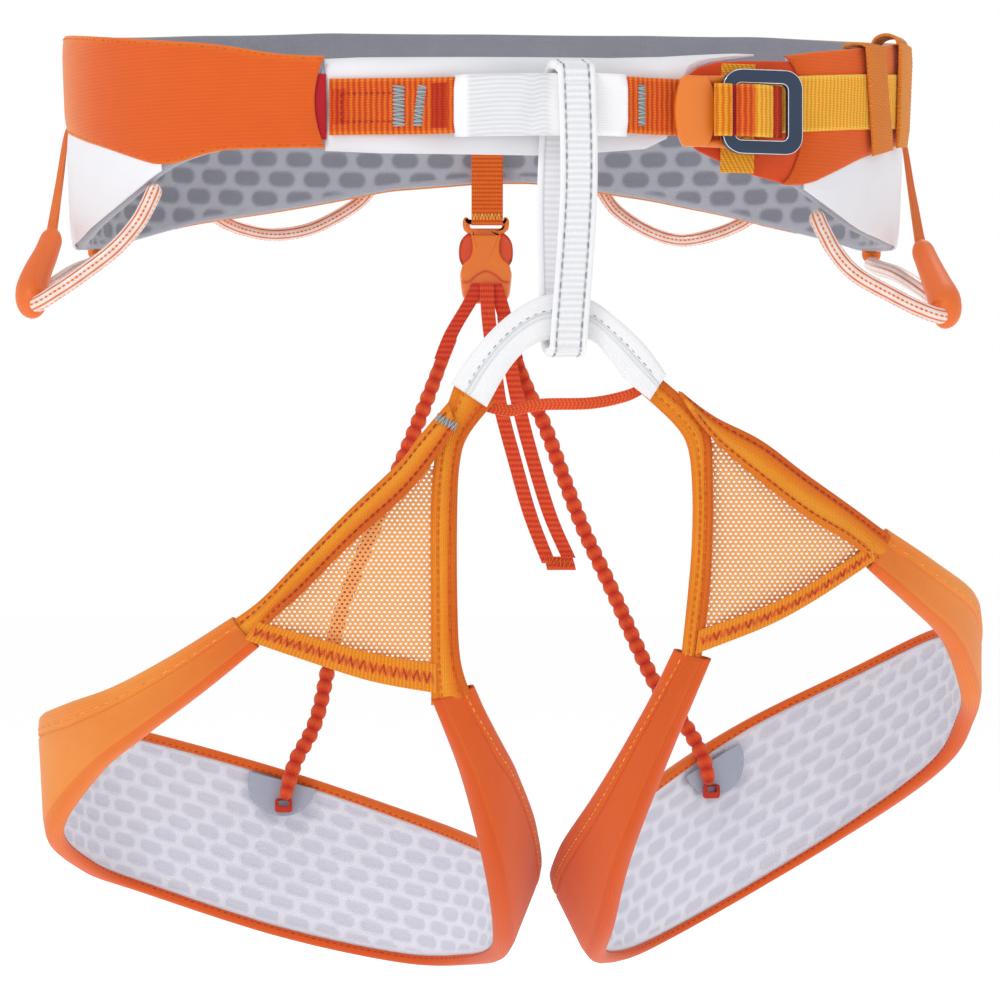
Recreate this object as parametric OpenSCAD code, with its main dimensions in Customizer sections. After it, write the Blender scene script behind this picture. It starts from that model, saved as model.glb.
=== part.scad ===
// Climbing harness: waist belt, belay loop, tie-in sleeves, two leg loops, elastic risers, buckles and
// gear loops. +Z is up, the front faces -Y and the wearer's right is -X. The origin is the middle of
// the waist opening at the middle of the front tongue's height.

/* [Waist belt] */
// Width of the waist opening
waist_w = 286; // [276:1:296]
// Depth of the waist opening, front to back
waist_d = 194; // [190:1:196]
// Squareness of the waist opening, where 2 is an ellipse
waist_power = 2.6; // [2.2:0.1:3]
// Outward lean of the belt, millimetres for each millimetre of height
belt_flare = 0.04; // [0:0.01:0.05]
// Thickness of the foam in the belt and in the leg pads
foam_t = 3.4; // [2.5:0.1:4]
// Thickness of each fabric layer
fabric_t = 0.9; // [0.6:0.1:1]

/* [Webbing] */
// Width of the load webbing round the front of the belt
webbing_w = 19; // [17:0.5:20]
// Thickness of the load webbing
webbing_t = 1.7; // [1.4:0.1:1.8]
// Width of the narrow webbing at the back
rear_webbing_w = 12; // [10:0.5:12]
// Thickness of the narrow webbing
rear_webbing_t = 1.3; // [1:0.1:1.4]

/* [Belay loop] */
// Width of the belay loop
belay_w = 12.4; // [11:0.2:13]
// Thickness of the belay loop
belay_t = 3; // [2.5:0.1:3]
// Height of the top of the belay loop
belay_top = 16.5; // [15:0.5:18]
// Height of the bottom of the belay loop
belay_bottom = -82; // [-86:0.5:-82]
// Free space inside the belay loop, front to back
belay_gap = 9.2; // [8.8:0.1:9.6]

/* [Waist buckle] */
// Width of the outer frame
frame_w = 27; // [26:0.5:28]
// Height of the outer frame
frame_h = 28.5; // [27:0.5:29]
// Thickness of the outer frame
frame_t = 2.8; // [2.4:0.1:3]

/* [Rear buckle] */
// Width of the socket
socket_w = 20; // [19:0.5:21]
// Height of the socket
socket_h = 23; // [22:0.5:24]
// Thickness of the socket
socket_t = 6.4; // [6.2:0.1:7]

/* [Gear loops] */
// Diameter of the front gear loop tube
front_loop_d = 5.6; // [5:0.1:6]
// Diameter of the rear gear loop cord
rear_loop_d = 4.8; // [4:0.1:5]

/* [Hidden] */
$fn = 32;

gap = 0.1;          // air between layers that are sewn together
shell_orange = [0.91, 0.41, 0.16];
web_orange = [0.94, 0.60, 0.15];
red_orange = [0.88, 0.30, 0.14];
lining_grey = [0.62, 0.62, 0.67];
leg_grey = [0.84, 0.83, 0.88];
navy = [0.20, 0.27, 0.37];

// How far each layer's faces stand out from the inside of the belt or leg pad
lining_out = fabric_t;
core_in = lining_out + gap;
core_out = core_in + foam_t;
strands_in = core_out + gap;
strands_out = strands_in + 0.5;
shell_in = strands_out + gap;
shell_out = shell_in + fabric_t;

// ---- Curves and lofts ----

function unit(v) = v / norm(v);
function catmull(a, b, c, d, u) =
    0.5 * (2 * b + (c - a) * u + (2 * a - 5 * b + 4 * c - d) * u * u
    + (3 * b - a - 3 * c + d) * u * u * u);
// A smooth open curve through points, with n steps between neighbours
function smooth(p, n) = let (m = len(p) - 1) [
    for (i = [0 : m * n]) let (k = min(floor(i / n), m - 1), u = i / n - k)
        catmull(p[max(k - 1, 0)], p[k], p[k + 1], p[min(k + 2, m)], u)];
// The same round a closed ring of points
function smooth_ring(p, n) = let (m = len(p)) [
    for (i = [0 : m * n - 1]) let (k = floor(i / n), u = i / n - k)
        catmull(p[(k + m - 1) % m], p[k], p[(k + 1) % m], p[(k + 2) % m], u)];

// Tangent at row i of a list of points
function tangent(p, i, ring) = let (m = len(p))
    ring ? unit(p[(i + 1) % m] - p[(i + m - 1) % m])
         : unit(p[min(i + 1, m - 1)] - p[max(i - 1, 0)]);
function middles(a, b) = [for (i = [0 : len(a) - 1]) (a[i] + b[i]) / 2];
// Rows of a ribbon whose edges are the curves a and b. Each point of the section is [share of the
// way from a to b, millimetres further the same way, millimetres out from the surface]; side turns
// the outward direction round.
function ribbon_rows(a, b, section, side = 1, ring = false) =
    let (mid = middles(a, b)) [
    for (i = [0 : len(a) - 1])
        let (w = b[i] - a[i], out = side * unit(cross(tangent(mid, i, ring), w)))
        [for (s = section) a[i] + w * s[0] + unit(w) * s[1] + out * s[2]]];
// Rows of a round tube along a path; the rings are square to it, with their first point towards up
function tube_rows(p, d, sides, up = [0, 0, 1]) = [
    for (i = [0 : len(p) - 1])
        let (t = tangent(p, i, false), u = unit(cross(t, up)), v = cross(t, u))
        [for (k = [0 : sides - 1]) p[i] + d / 2 * (u * cos(360 * k / sides) + v * sin(360 * k / sides))]];

function area_vector(row) = let (m = len(row)) [
    for (c = [0 : 2]) let (j = (c + 1) % 3, k = (c + 2) % 3)
        add([for (i = [0 : m - 1]) let (p = row[i], q = row[(i + 1) % m])
            (p[j] - q[j]) * (p[k] + q[k]) / 2])];
function add(v, i = 0) = i < len(v) ? v[i] + add(v, i + 1) : 0;
function reversed(row) = [for (i = [len(row) - 1 : -1 : 0]) row[i]];

// A closed solid through rows of points, capped at both ends unless it is a ring
module loft(rows, ring = false) {
    n = len(rows);
    k = len(rows[0]);
    forward = area_vector(rows[0]) * (rows[1][0] + rows[1][1] - rows[0][0] - rows[0][1]) > 0;
    turned = forward ? rows : [for (r = rows) reversed(r)];
    last = ring ? n - 1 : n - 2;
    sides = [for (i = [0 : last]) for (j = [0 : k - 1])
        let (i2 = (i + 1) % n, j2 = (j + 1) % k)
        each [[i * k + j, i2 * k + j, i2 * k + j2], [i * k + j, i2 * k + j2, i * k + j2]]];
    caps = ring ? [] : [[for (j = [0 : k - 1]) j], [for (j = [k - 1 : -1 : 0]) (n - 1) * k + j]];
    polyhedron([for (r = turned) each r], concat(sides, caps));
}
// A flat section from inner to outer, drawn in from both edges by inset, with points between the
// edges so that it follows a surface that twists
function flat(inner, outer, inset = 0, columns = 1) = concat([[0, inset, inner]],
    [for (i = [0 : columns]) [i / columns, inset * (1 - 2 * i / columns), outer]],
    [for (i = [columns : -1 : 1]) [i / columns, inset * (1 - 2 * i / columns), inner]]);
module ribbon(a, b, section, side = 1, ring = false) {
    loft(ribbon_rows(a, b, section, side, ring), ring);
}
module tube(p, d, sides = 10, up = [0, 0, 1]) { loft(tube_rows(p, d, sides, up)); }

// ---- The waist ----

// Angle 0 is the front, 90 the viewer's right, and the belt's edges are tables of [angle, height]
belt_top_z = [[-180, 49], [-147, 49], [-125, 46], [-106, 41], [-90, 36], [-76, 33], [-57, 27],
    [-46, 24], [-37, 20], [-30, 19], [35, 19], [50, 20], [54, 22], [63, 25], [70, 28], [90, 34],
    [106, 39], [118, 43], [128, 46], [147, 48], [180, 49]];
belt_bottom_z = [[-180, -8], [-159, -11], [-147, -16], [-135, -21], [-125, -25], [-116, -31],
    [-106, -37], [-90, -40], [-75, -39], [-66, -32], [-60, -25], [-54, -16], [-46, -11], [-30, -11],
    [0, -14], [30, -13], [48, -17], [54, -23], [58, -29], [65, -37], [74, -40], [90, -40],
    [106, -38], [118, -31], [128, -25], [134, -21], [146, -15], [155, -12], [169, -8], [180, -8]];
// Where the orange shells end and the white wings begin
shell_bottom_z = [[-125, 2], [-90, 4], [-75, -2], [-65, -8], [-56, -15], [-54, -16], [-46, -11],
    [-30, -11], [50, -22], [54, -23], [65, -11], [80, -3], [90, 2], [125, 2]];

belt_left_end = -30;
belt_right_end = 48;
wing_left_start = -56;
wing_right_start = 57;
rear_seam = 125;

function wrap(a) = a < -180 ? a + 360 : a;
// A point of the waist's plan at an angle, out millimetres outside it
function waist(a, out = 0) =
    let (s = sin(a), c = cos(a), p = waist_power, w = waist_w / 2, d = waist_d / 2,
        r = pow(pow(abs(s) / w, p) + pow(abs(c) / d, p), -1 / p),
        x = r * s, y = -r * c,
        n = unit([sign(x) * pow(abs(x) / w, p - 1) / w, sign(y) * pow(abs(y) / d, p - 1) / d]))
    [x, y] + out * n;
function waist3(a, z) = let (p = waist(a, belt_flare * z)) [p[0], p[1], z];
function angles(from, to, n) = [for (i = [0 : n]) from + (to - from) * i / n];
// A layer of the belt between two angles, with its edges given by two tables
module belt_layer(from, to, n, top, bottom, inner, outer, inset = 0) {
    list = angles(from, to, n);
    ribbon([for (a = list) waist3(a, lookup(wrap(a), top))],
        [for (a = list) waist3(a, lookup(wrap(a), bottom))],
        flat(inner, outer, inset), from > to ? 1 : -1);
}
// A strap on the belt from one angle to another, between two heights at each end
module belt_strap(from, to, n, z_from, z_to, inner, outer) {
    list = angles(from, to, n);
    function z(i, k) = z_from[k] + (z_to[k] - z_from[k]) * i / n;
    ribbon([for (i = [0 : n]) waist3(list[i], z(i, 1))],
        [for (i = [0 : n]) waist3(list[i], z(i, 0))], flat(inner, outer), -1);
}
full_turn = belt_right_end - 360;
shell_right_start = 52;
foam_turn = shell_right_start - 360;    // the foam stops where the flap comes out

module belt_inner_lining() {
    color(lining_grey)
        belt_layer(belt_left_end, full_turn, 84, belt_top_z, belt_bottom_z, 0, lining_out);
}
module belt_foam_core() {
    color("dimgray")
        belt_layer(belt_left_end, foam_turn, 84, belt_top_z, belt_bottom_z, core_in, core_out, 1);
}
strand_w = 4;       // each of the flat load strands between the foam and the shell
module belt_load_strands() {
    for (share = [0.25, 0.5, 0.75]) {
        list = angles(belt_left_end, foam_turn, 84);
        z = [for (a = list) lookup(wrap(a), belt_top_z) * (1 - share) + lookup(wrap(a), belt_bottom_z) * share];
        color("white")
            ribbon([for (i = [0 : 84]) waist3(list[i], z[i] + strand_w / 2)],
                [for (i = [0 : 84]) waist3(list[i], z[i] - strand_w / 2)],
                flat(strands_in, strands_out));
    }
}
module left_outer_shell() {
    color(shell_orange) belt_layer(belt_left_end, -rear_seam, 36, belt_top_z, shell_bottom_z,
        shell_in, shell_out);
}
module right_outer_shell() {
    color(shell_orange) belt_layer(shell_right_start, rear_seam, 30, belt_top_z, shell_bottom_z,
        shell_in, shell_out);
}
module rear_outer_panel() {
    color(shell_orange) belt_layer(-rear_seam - 0.3, rear_seam - 359.7, 36, belt_top_z,
        belt_bottom_z, shell_in, shell_out);
}
// The white wing panels start as a point under the orange shells
module wing(from, to) {
    n = 24;
    list = angles(from, to, n);
    side = from > to ? 1 : -1;
    color("white")
        ribbon([for (a = list) waist3(a, lookup(a, shell_bottom_z) - gap)],
            [for (a = list) waist3(a, min(lookup(a, belt_bottom_z), lookup(a, shell_bottom_z) - 1))],
            flat(shell_in, shell_out), side);
}
module left_wing_panel() { wing(wing_left_start, -rear_seam); }
module right_wing_panel() { wing(wing_right_start, rear_seam); }

// ---- The front of the belt ----

tongue_out = 3.5;
flap_in = 3.8;
flap_out = flap_in + fabric_t;
module right_front_flap() {
    color(red_orange)
        belt_strap(37, 51.5, 10, [-11, 13], [-22, 19.5], flap_in, flap_out);
}
tongue_top = 19;
tongue_bottom = -13;
module front_tongue() {
    color("white")
        belt_strap(belt_left_end + 0.5, 46, 24, [tongue_bottom, tongue_top],
            [tongue_bottom + 1, tongue_top + 1], 0, tongue_out);
}

web_top = 11.6;
web_bottom = web_top - webbing_w;
sleeve_y = -111;    // depth of the middle of both tie-in sleeves where the belay loop goes round them
// The load webbing leaves the belt, runs out through the tie-in sleeve and comes back to the buckle
webbing_path = [[-52, -99.4], [-38, -101.4], [-22, -103], [-10, -106], [6, -109.5], [20, sleeve_y],
    [36, sleeve_y], [48, -107], [56, -102.2], [64, -98.6], [72, -96.6]];
sleeve_path = [[-10, -106], [6, -109.5], [20, sleeve_y], [36, sleeve_y], [48, -107]];
function lifted(path, z) = [for (p = path) [p[0], p[1], z]];
// A vertical band along a path in plan, centred on it
module band(path, n, bottom, top, t) {
    ribbon(smooth(lifted(path, top), n), smooth(lifted(path, bottom), n), flat(-t / 2, t / 2), -1);
}
module tie_in_webbing() {
    color(web_orange) band(webbing_path, 3, web_bottom, web_top, webbing_t);
}
sleeve_t = 3.6;
module upper_tie_in_sleeve() {
    color("white") difference() {
        band(sleeve_path, 4, web_bottom - 1, web_top + 0.6, sleeve_t);
        band(webbing_path, 3, web_bottom - 0.1, web_top + 0.1, webbing_t + 0.2);
    }
}
// Each bar of stitching: where it is along x, and how far the webbing is turned there
bartacks = [[-28.5, -5.5], [-21, -10], [52.5, 28]];
bartack_w = 3.4;
bartack_h = 14;
bartack_d = 0.5;
module webbing_bartacks() {
    for (b = bartacks) color("gray")
        translate([b[0], lookup(b[0], webbing_path), web_bottom + webbing_w / 2])
            rotate([0, 0, b[1]]) translate([0, -webbing_t / 2 - bartack_d, 0])
                cube([bartack_w, bartack_d, bartack_h], center = true);
}

// ---- The waist buckle ----

// Local x runs along the strap, y into the belt and z up
module at_buckle(x, y, turn) { translate([x, y, 0.5]) rotate([0, 0, turn]) children(); }
// A plate in the x-z plane, with its back at y = 0
module upright(t) { rotate([90, 0, 0]) linear_extrude(t) children(); }
module rounded(w, h, r) {
    square([w - 2 * r, h], center = true);
    square([w, h - 2 * r], center = true);
    for (x = [-1, 1], z = [-1, 1]) translate([x * (w / 2 - r), z * (h / 2 - r)]) circle(r);
}
plate_t = 2.6;
plate_w = 14;
plate_h = 24;
plate_bulge = 46;   // radius of the plate's curved sides
inner_arm_h = 3;
module waist_buckle_plate() {
    color(shell_orange) at_buckle(70.5, -100.4, 13) union() {
        upright(plate_t) intersection() {
            rounded(plate_w, plate_h, 2.5);
            translate([plate_bulge - plate_w / 2, 0]) circle(plate_bulge, $fn = 128);
            translate([plate_w / 2 - plate_bulge, 0]) circle(plate_bulge, $fn = 128);
        }
        for (z = [-1, 1]) translate([4, -2, z * 11 - inner_arm_h / 2])
            cube([14, 2, inner_arm_h]);
    }
}
frame_bar = 5;
frame_x = 94;
frame_y = -96.4;
frame_turn = 20;
module waist_buckle_frame() {
    color(navy) at_buckle(frame_x, frame_y, frame_turn) upright(frame_t) difference() {
        rounded(frame_w, frame_h, 5);
        translate([-0.5, 0]) rounded(frame_w - 2 * frame_bar, frame_h - 2 * frame_bar + 2, 1.6);
    }
}
strap_in = 6.5;
strap_out = strap_in + webbing_t;
module adjust_strap() {
    color(web_orange)
        belt_strap(41, 76, 16, [web_bottom, web_top], [0.5, 19.5], strap_in, strap_out);
}
module strap_guide_loop() {
    color(web_orange)
        belt_strap(41.5, 46.5, 5, [-19, 17.5], [-19.5, 18], flap_out + gap, flap_out + 1.2);
}
keeper_t = 1.1;
module keeper(from, to, bottom, top) {
    color(shell_orange) belt_strap(from, to, 5, [bottom, top], [bottom + 1, top + 1],
        strap_out + 0.3, strap_out + 0.3 + keeper_t);
}
module strap_keeper_front() { keeper(63.5, 67.5, -11, 26); }
module strap_keeper_rear() { keeper(72, 76, -6, 29); }

// ---- The belay loop and the lower tie-in sleeve ----

belay_x = 28;       // middle of the loop
belay_mid = belay_gap / 2 + belay_t / 2;
// The ring's middle line: the front strand stands a little to the right of the back one
belay_ring = [
    [31, -belay_mid, belay_top - 8], [31.5, -belay_mid, belay_top - 45],
    [28.5, -belay_mid, belay_bottom + 9],
    [28, -belay_mid * 0.62, belay_bottom + 2.8], [27, 0, belay_bottom + belay_t / 2],
    [26, belay_mid * 0.62, belay_bottom + 2.8],
    [25, belay_mid, belay_bottom + 9], [24, belay_mid, belay_top - 45],
    [26, belay_mid, belay_top - 8], [27, belay_mid * 0.62, belay_top - 2.8],
    [28, 0, belay_top - belay_t / 2], [30, -belay_mid * 0.62, belay_top - 2.8]];
module belay_loop() {
    ring = smooth_ring([for (p = belay_ring) p + [0, sleeve_y, 0]], 5);
    half = [belay_w / 2, 0, 0];
    color("white")
        ribbon([for (p = ring) p - half], [for (p = ring) p + half],
            flat(-belay_t / 2, belay_t / 2), 1, true);
}
arch_outer = [[-11, -108, -91], [-5, -110, -82], [4, sleeve_y, -72], [13, sleeve_y, -65],
    [22, sleeve_y, -61.5], [35, sleeve_y, -63], [45, sleeve_y, -70], [54, -110, -78.5], [61, -108, -88]];
arch_inner = [[1, -108, -99], [6, -110, -90], [11, sleeve_y, -83], [17, sleeve_y, -78],
    [23, sleeve_y, -76.5], [35, sleeve_y, -76.5], [41.5, sleeve_y, -82.5], [47.5, -110, -90],
    [55.5, -108, -96.5]];
arch_t = 4.4;
module lower_tie_in_sleeve() {
    color("white") ribbon(smooth(arch_outer, 4), smooth(arch_inner, 4), flat(-arch_t / 2, arch_t / 2));
}
link_path = [[-2, -102, -97.5], [8, -101.8, -100], [19, -102.5, -98], [36, -102.5, -97.5], [48, -102.5, -95],
    [54, -103, -92]];
link_w = 4;
module leg_link_strap() {
    up = [0, 0, link_w / 2];
    path = smooth(link_path, 4);
    color(red_orange)
        ribbon([for (p = path) p + up], [for (p = path) p - up], flat(-0.7, 0.7));
}

// ---- The rear strap, buckle and risers ----

rear_y = 98;        // depth of the middle of the rear buckle
rear_path = [[0.5, 93, 4], [0.5, 92, -6], [0.5, 95, -16], [0.5, rear_y - 2.4, -25]];
module rear_strap() {
    half = [rear_webbing_w / 2, 0, 0];
    path = smooth([for (p = rear_path) p + [0, -2.5, 0]], 4);
    color(red_orange)
        ribbon([for (p = path) p - half], [for (p = path) p + half],
            flat(-rear_webbing_t / 2, rear_webbing_t / 2));
}
plug_top = -22;
socket_top = -30;
socket_bottom = socket_top - socket_h;
wall = 1.5;
cavity_w = socket_w - 2 * wall;
module box(x, y, z, size) { translate([x, y, z]) cube(size, center = true); }
module rear_buckle_plug() {
    color(shell_orange) translate([0, rear_y, 0]) difference() {
        union() {
            box(0, 0, plug_top - 3.2, [17.5, 3.6, 6.4]);
            box(0, 0, plug_top - 12.6, [4, 2.4, 13]);
        }
        box(0, 0, plug_top - 2.6, [rear_webbing_w + 0.6, 5, 2]);
    }
}
// One spring prong, drawn on the +X side, with its barb in the socket's side window
prong_x = 6.1;
module prong(side) {
    color(shell_orange) translate([0, rear_y, 0]) mirror([side > 0 ? 0 : 1, 0, 0]) {
        box(prong_x, 0, -36.5, [1.8, 2.4, 15.6]);
        box(prong_x + 2.1, 0, -41.6, [4.2, 2.4, 5]);
    }
}
module rear_buckle_prong_left() { prong(-1); }
module rear_buckle_prong_right() { prong(1); }
module rear_buckle_socket() {
    color(shell_orange) translate([0, rear_y, 0]) difference() {
        translate([0, socket_t / 2, (socket_top + socket_bottom) / 2])
            upright(socket_t) rounded(socket_w, socket_h, 3);
        box(0, 0, socket_top - 8, [cavity_w, 3.4, 16.01]);
        box(0, 0, socket_top - 11, [socket_w + 1, 3.8, 7.5]);
        box(0, 0, socket_bottom + 4.2, [rear_webbing_w + 0.6, socket_t + 1, 2.4]);
    }
}
yoke_y = rear_y - socket_t / 2 - 1.2;
module slim_strap(path, w, t, n = 4) {
    half = [w / 2, 0, 0];
    p = smooth(path, n);
    ribbon([for (q = p) q - half], [for (q = p) q + half], flat(-t / 2, t / 2));
}
module riser_yoke_webbing() {
    color(red_orange) {
        slim_strap([[-2.5, yoke_y, -47], [-6, yoke_y, -54], [-13, yoke_y, -66], [-17, yoke_y, -76]], 5, 1.2);
        slim_strap([[3, yoke_y, -47], [5, yoke_y, -54], [9, yoke_y, -66], [11, yoke_y, -76]], 5, 1.2);
    }
}
riser_d = 5;
left_riser_path = [[-17, 92, -79], [-27, 92, -103], [-40, 91, -134], [-55, 89, -172], [-64, 84, -212],
    [-72, 77, -229], [-76, 75, -241]];
right_riser_path = [[12, 92, -79], [23, 92, -103], [36, 92, -138], [48, 92, -164], [64, 88, -199],
    [76, 77, -216], [82, 72.8, -227], [84.2, 71.8, -235]];
module riser(path) { color(red_orange) tube(smooth(path, 4), riser_d, 8, [1, 0, 0]); }
module left_riser() { riser(left_riser_path); }
module right_riser() { riser(right_riser_path); }
// The free tail: one webbing down, folded and sewn, and up again
tail_y = 87;
tail_w = 5.4;
tail_t = 1.1;
tail_down = [[1, 90, -60], [3, 87, -76], [5.5, 86, -94], [11, tail_y - 1, -115], [17, tail_y - 1, -136], [24, tail_y - 2, -154]];
tail_up = [[7, 91.8, -60], [9, 88.4, -76], [12.5, 87.6, -94], [18, tail_y + 0.6, -115], [24.5, tail_y + 0.6, -136],
    [31.5, tail_y - 0.4, -152]];
module riser_tail_loop() {
    color(red_orange) {
        slim_strap(tail_down, tail_w, tail_t);
        slim_strap(tail_up, tail_w, tail_t);
        box(28, tail_y - 0.9, -155, [11, 3.2, 3]);
    }
}

// ---- Gear loops ----

// Front loops: from under the wing down to the moulded tip, and back behind the belt
front_left_path = [[-112, -74, -22], [-115, -75, -29], [-119, -76, -36], [-126, -77, -44], [-136, -78, -52],
    [-146, -78, -59], [-153, -75, -63], [-155, -66, -61], [-150, -48, -55], [-146, -20, -49], [-143, 10, -45],
    [-143, 34, -42]];
front_right_path = [[113, -73, -31], [116, -74, -38], [120, -75, -45], [127, -77, -53], [139, -78, -60],
    [149, -78, -65], [156, -75, -67], [158, -66, -64], [153, -48, -57], [147, -20, -50], [143, 10, -46],
    [142, 34, -43]];
module front_loop(path) { color("mistyrose") tube(smooth(path, 4), front_loop_d, 10); }
module front_left_gear_loop() { front_loop(front_left_path); }
module front_right_gear_loop() { front_loop(front_right_path); }
// Moulded tip: a ball on the loop's bend and a socket that takes the hanging strap
tip_r = 6.4;
module loop_tip(ball, socket, path) {
    color(shell_orange) difference() {
        union() {
            translate(ball) rotate([90, 0, 0]) cylinder(h = 9, r = tip_r, center = true);
            hull() {
                translate(ball) sphere(4.5);
                translate(socket) cube([7, 5, 2], center = true);
            }
        }
        tube(smooth(path, 4), front_loop_d + 0.5, 10);
    }
}
left_ball = [-155, -71, -62];
left_socket = [-152, -36, -37];
right_ball = [158, -71, -66];
right_socket = [153, -36, -41];
module front_left_loop_tip() { loop_tip(left_ball, left_socket, front_left_path); }
module front_right_loop_tip() { loop_tip(right_ball, right_socket, front_right_path); }
// The strap is a point at the belt and widens down to the tip's socket
module loop_strap(top, socket) {
    a = smooth([top + [0, -1, 0], (top + socket) / 2 + [0, -2.5, 0], socket + [0, -3, 1.4]], 5);
    b = smooth([top + [0, 1, 0], (top + socket) / 2 + [0, 2.5, 0], socket + [0, 3, 1.4]], 5);
    color(shell_orange) ribbon(a, b, flat(-0.8, 0.8));
}
module front_left_loop_strap() { loop_strap([-151, 5, 2], left_socket); }
module front_right_loop_strap() { loop_strap([151, 5, 0], right_socket); }
rear_left_path = [[-108, 88, -17], [-103, 92, -22], [-94, 97, -26], [-81, 101, -28], [-66, 105, -25],
    [-50, 107, -16], [-43, 108, -8]];
rear_right_path = [[43, 108, -8], [50, 108, -18], [62, 107, -26], [75, 104, -30], [88, 100, -28],
    [100, 94, -23], [106, 90, -17]];
module rear_loop(path) { color("mistyrose") tube(smooth(path, 4), rear_loop_d, 8); }
module rear_left_gear_loop() { rear_loop(rear_left_path); }
module rear_right_gear_loop() { rear_loop(rear_right_path); }

// ---- Leg loops ----
// Each list runs along one edge; a pad goes from the outer arm round the thigh to the inner arm.

left_pad_top = [[-84, -78, -170], [-105, -66, -183], [-127, -46, -195], [-145, -25, -202], [-155, 5, -208],
    [-147, 45, -212], [-126, 66, -218], [-77, 82, -233], [-32, 76, -248], [-4, 52, -257], [14, 12, -262],
    [13, -22, -243], [6, -50, -222], [0, -68, -206], [-5, -80, -192]];
left_pad_bottom = [[-76, -80, -179], [-96, -68, -195], [-117, -50, -211], [-135, -30, -226], [-152, 0, -250],
    [-145, 38, -266], [-126, 62, -277], [-77, 78, -295], [-32, 72, -304], [-9, 50, -302], [1, 14, -295],
    [3, -18, -283], [0, -46, -259], [-8, -66, -225], [-18, -82, -196]];
right_pad_top = [[135, -78, -140], [153, -62, -151], [168, -35, -162], [172, 0, -175], [172, 35, -177],
    [164, 60, -180], [137, 80, -195], [100, 84, -214], [68, 68, -234], [43, 46, -252], [29, 16, -264],
    [31, -18, -251], [42, -48, -231], [55, -68, -206], [66, -82, -180]];
right_pad_bottom = [[129, -80, -152], [145, -64, -165], [160, -40, -179], [171, -5, -200], [173, 25, -212],
    [166, 50, -230], [137, 74, -255], [100, 80, -279], [71, 67, -294], [54, 44, -299], [44, 12, -295],
    [46, -20, -281], [51, -48, -255], [61, -68, -225], [77, -84, -183]];
pad_steps = 3;
pad_columns = 5;
slack = 0.15;       // more air on each side of the foam, because the pads twist

left_outer_upper = [[-15, -108, -101], [-21, -106, -108], [-28, -102, -117], [-45, -95, -133],
    [-62, -89, -150], [-76, -84, -164], [-83, -81, -169]];
left_outer_lower = [[-12, -108, -110], [-19, -106, -120], [-28, -102, -130], [-45, -95, -145],
    [-62, -89, -162], [-72, -85, -171], [-76, -83, -177]];
left_inner_outer = [[-11, -106, -95], [-15, -104, -107], [-17, -101, -120], [-18, -97, -137],
    [-18, -92, -164], [-18, -88, -184], [-18, -85, -194]];
left_inner_inner = [[1, -106, -100.5], [-5, -104, -108], [-8, -101, -117], [-9, -97, -133],
    [-9, -92, -164], [-8, -88, -184], [-6, -85, -191]];
left_mesh_outer = [[-20, -101.5, -122], [-33, -99, -135], [-46, -94.5, -146.5], [-59, -90, -160],
    [-70, -86, -171]];
left_mesh_inner = [[-17, -101.5, -123], [-18, -98.5, -138], [-18, -95.5, -152], [-18, -92.5, -168],
    [-18, -89.8, -184]];
left_band_upper = [[-72, -85, -172.5], [-56, -87.5, -177], [-37, -89, -182], [-19, -89, -185]];
left_band_lower = [[-77, -83.5, -179], [-59, -86, -185], [-38, -87, -191.5], [-19, -86.5, -195]];

right_outer_upper = [[69, -108, -96.5], [77, -106, -102], [93, -102, -110], [108, -97, -121],
    [124, -90, -132], [134, -84, -139]];
right_outer_lower = [[74, -108, -106], [79, -106, -112], [93, -102, -124], [109, -97, -136],
    [123, -90, -144], [131, -83, -150]];
right_inner_outer = [[63.5, -106, -93], [72, -104.5, -100.5], [76, -102.5, -108], [77, -100, -126],
    [77, -96.5, -145], [76, -92.5, -164], [74, -87, -181]];
right_inner_inner = [[56.5, -106, -98], [64, -104.5, -105], [68.5, -102.5, -113], [70, -100, -127],
    [70, -96.5, -144], [69, -92.5, -160], [67.5, -87, -177]];
right_mesh_outer = [[79, -102.5, -114], [94, -99.5, -126], [109, -94.5, -137.5], [119, -90.5, -143],
    [127, -86.5, -147]];
right_mesh_inner = [[78, -102, -115], [78, -99, -130], [78, -96, -145], [78, -93.5, -160],
    [77.5, -91.5, -171]];
right_band_upper = [[78, -91, -172], [95, -91.5, -166], [112, -89.5, -157.5], [128, -86, -147]];
right_band_lower = [[77, -88.5, -180], [95, -89, -173], [112, -87, -164], [129, -83.5, -153]];
arm_t = 1.7;

module arm(outer, inner, side) {
    color(web_orange) ribbon(smooth(outer, 4), smooth(inner, 4), flat(-arm_t / 2, arm_t / 2), side);
}
module left_leg_outer_arm() { arm(left_outer_upper, left_outer_lower, 1); }
module left_leg_inner_arm() { arm(left_inner_outer, left_inner_inner, 1); }
module right_leg_outer_arm() { arm(right_outer_upper, right_outer_lower, 1); }
module right_leg_inner_arm() { arm(right_inner_outer, right_inner_inner, 1); }

mesh_t = 0.6;
module mesh_panel(outer, inner) {
    color("sandybrown") ribbon(smooth(outer, 4), smooth(inner, 4), flat(-mesh_t / 2, mesh_t / 2));
}
module left_leg_mesh_panel() { mesh_panel(left_mesh_outer, left_mesh_inner); }
module right_leg_mesh_panel() { mesh_panel(right_mesh_outer, right_mesh_inner); }

band_t = 1.2;
module elastic_band(upper, lower) {
    color(web_orange) ribbon(smooth(upper, 4), smooth(lower, 4), flat(-band_t / 2, band_t / 2));
}
module left_leg_elastic_band() { elastic_band(left_band_upper, left_band_lower); }
module right_leg_elastic_band() { elastic_band(right_band_upper, right_band_lower); }

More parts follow.
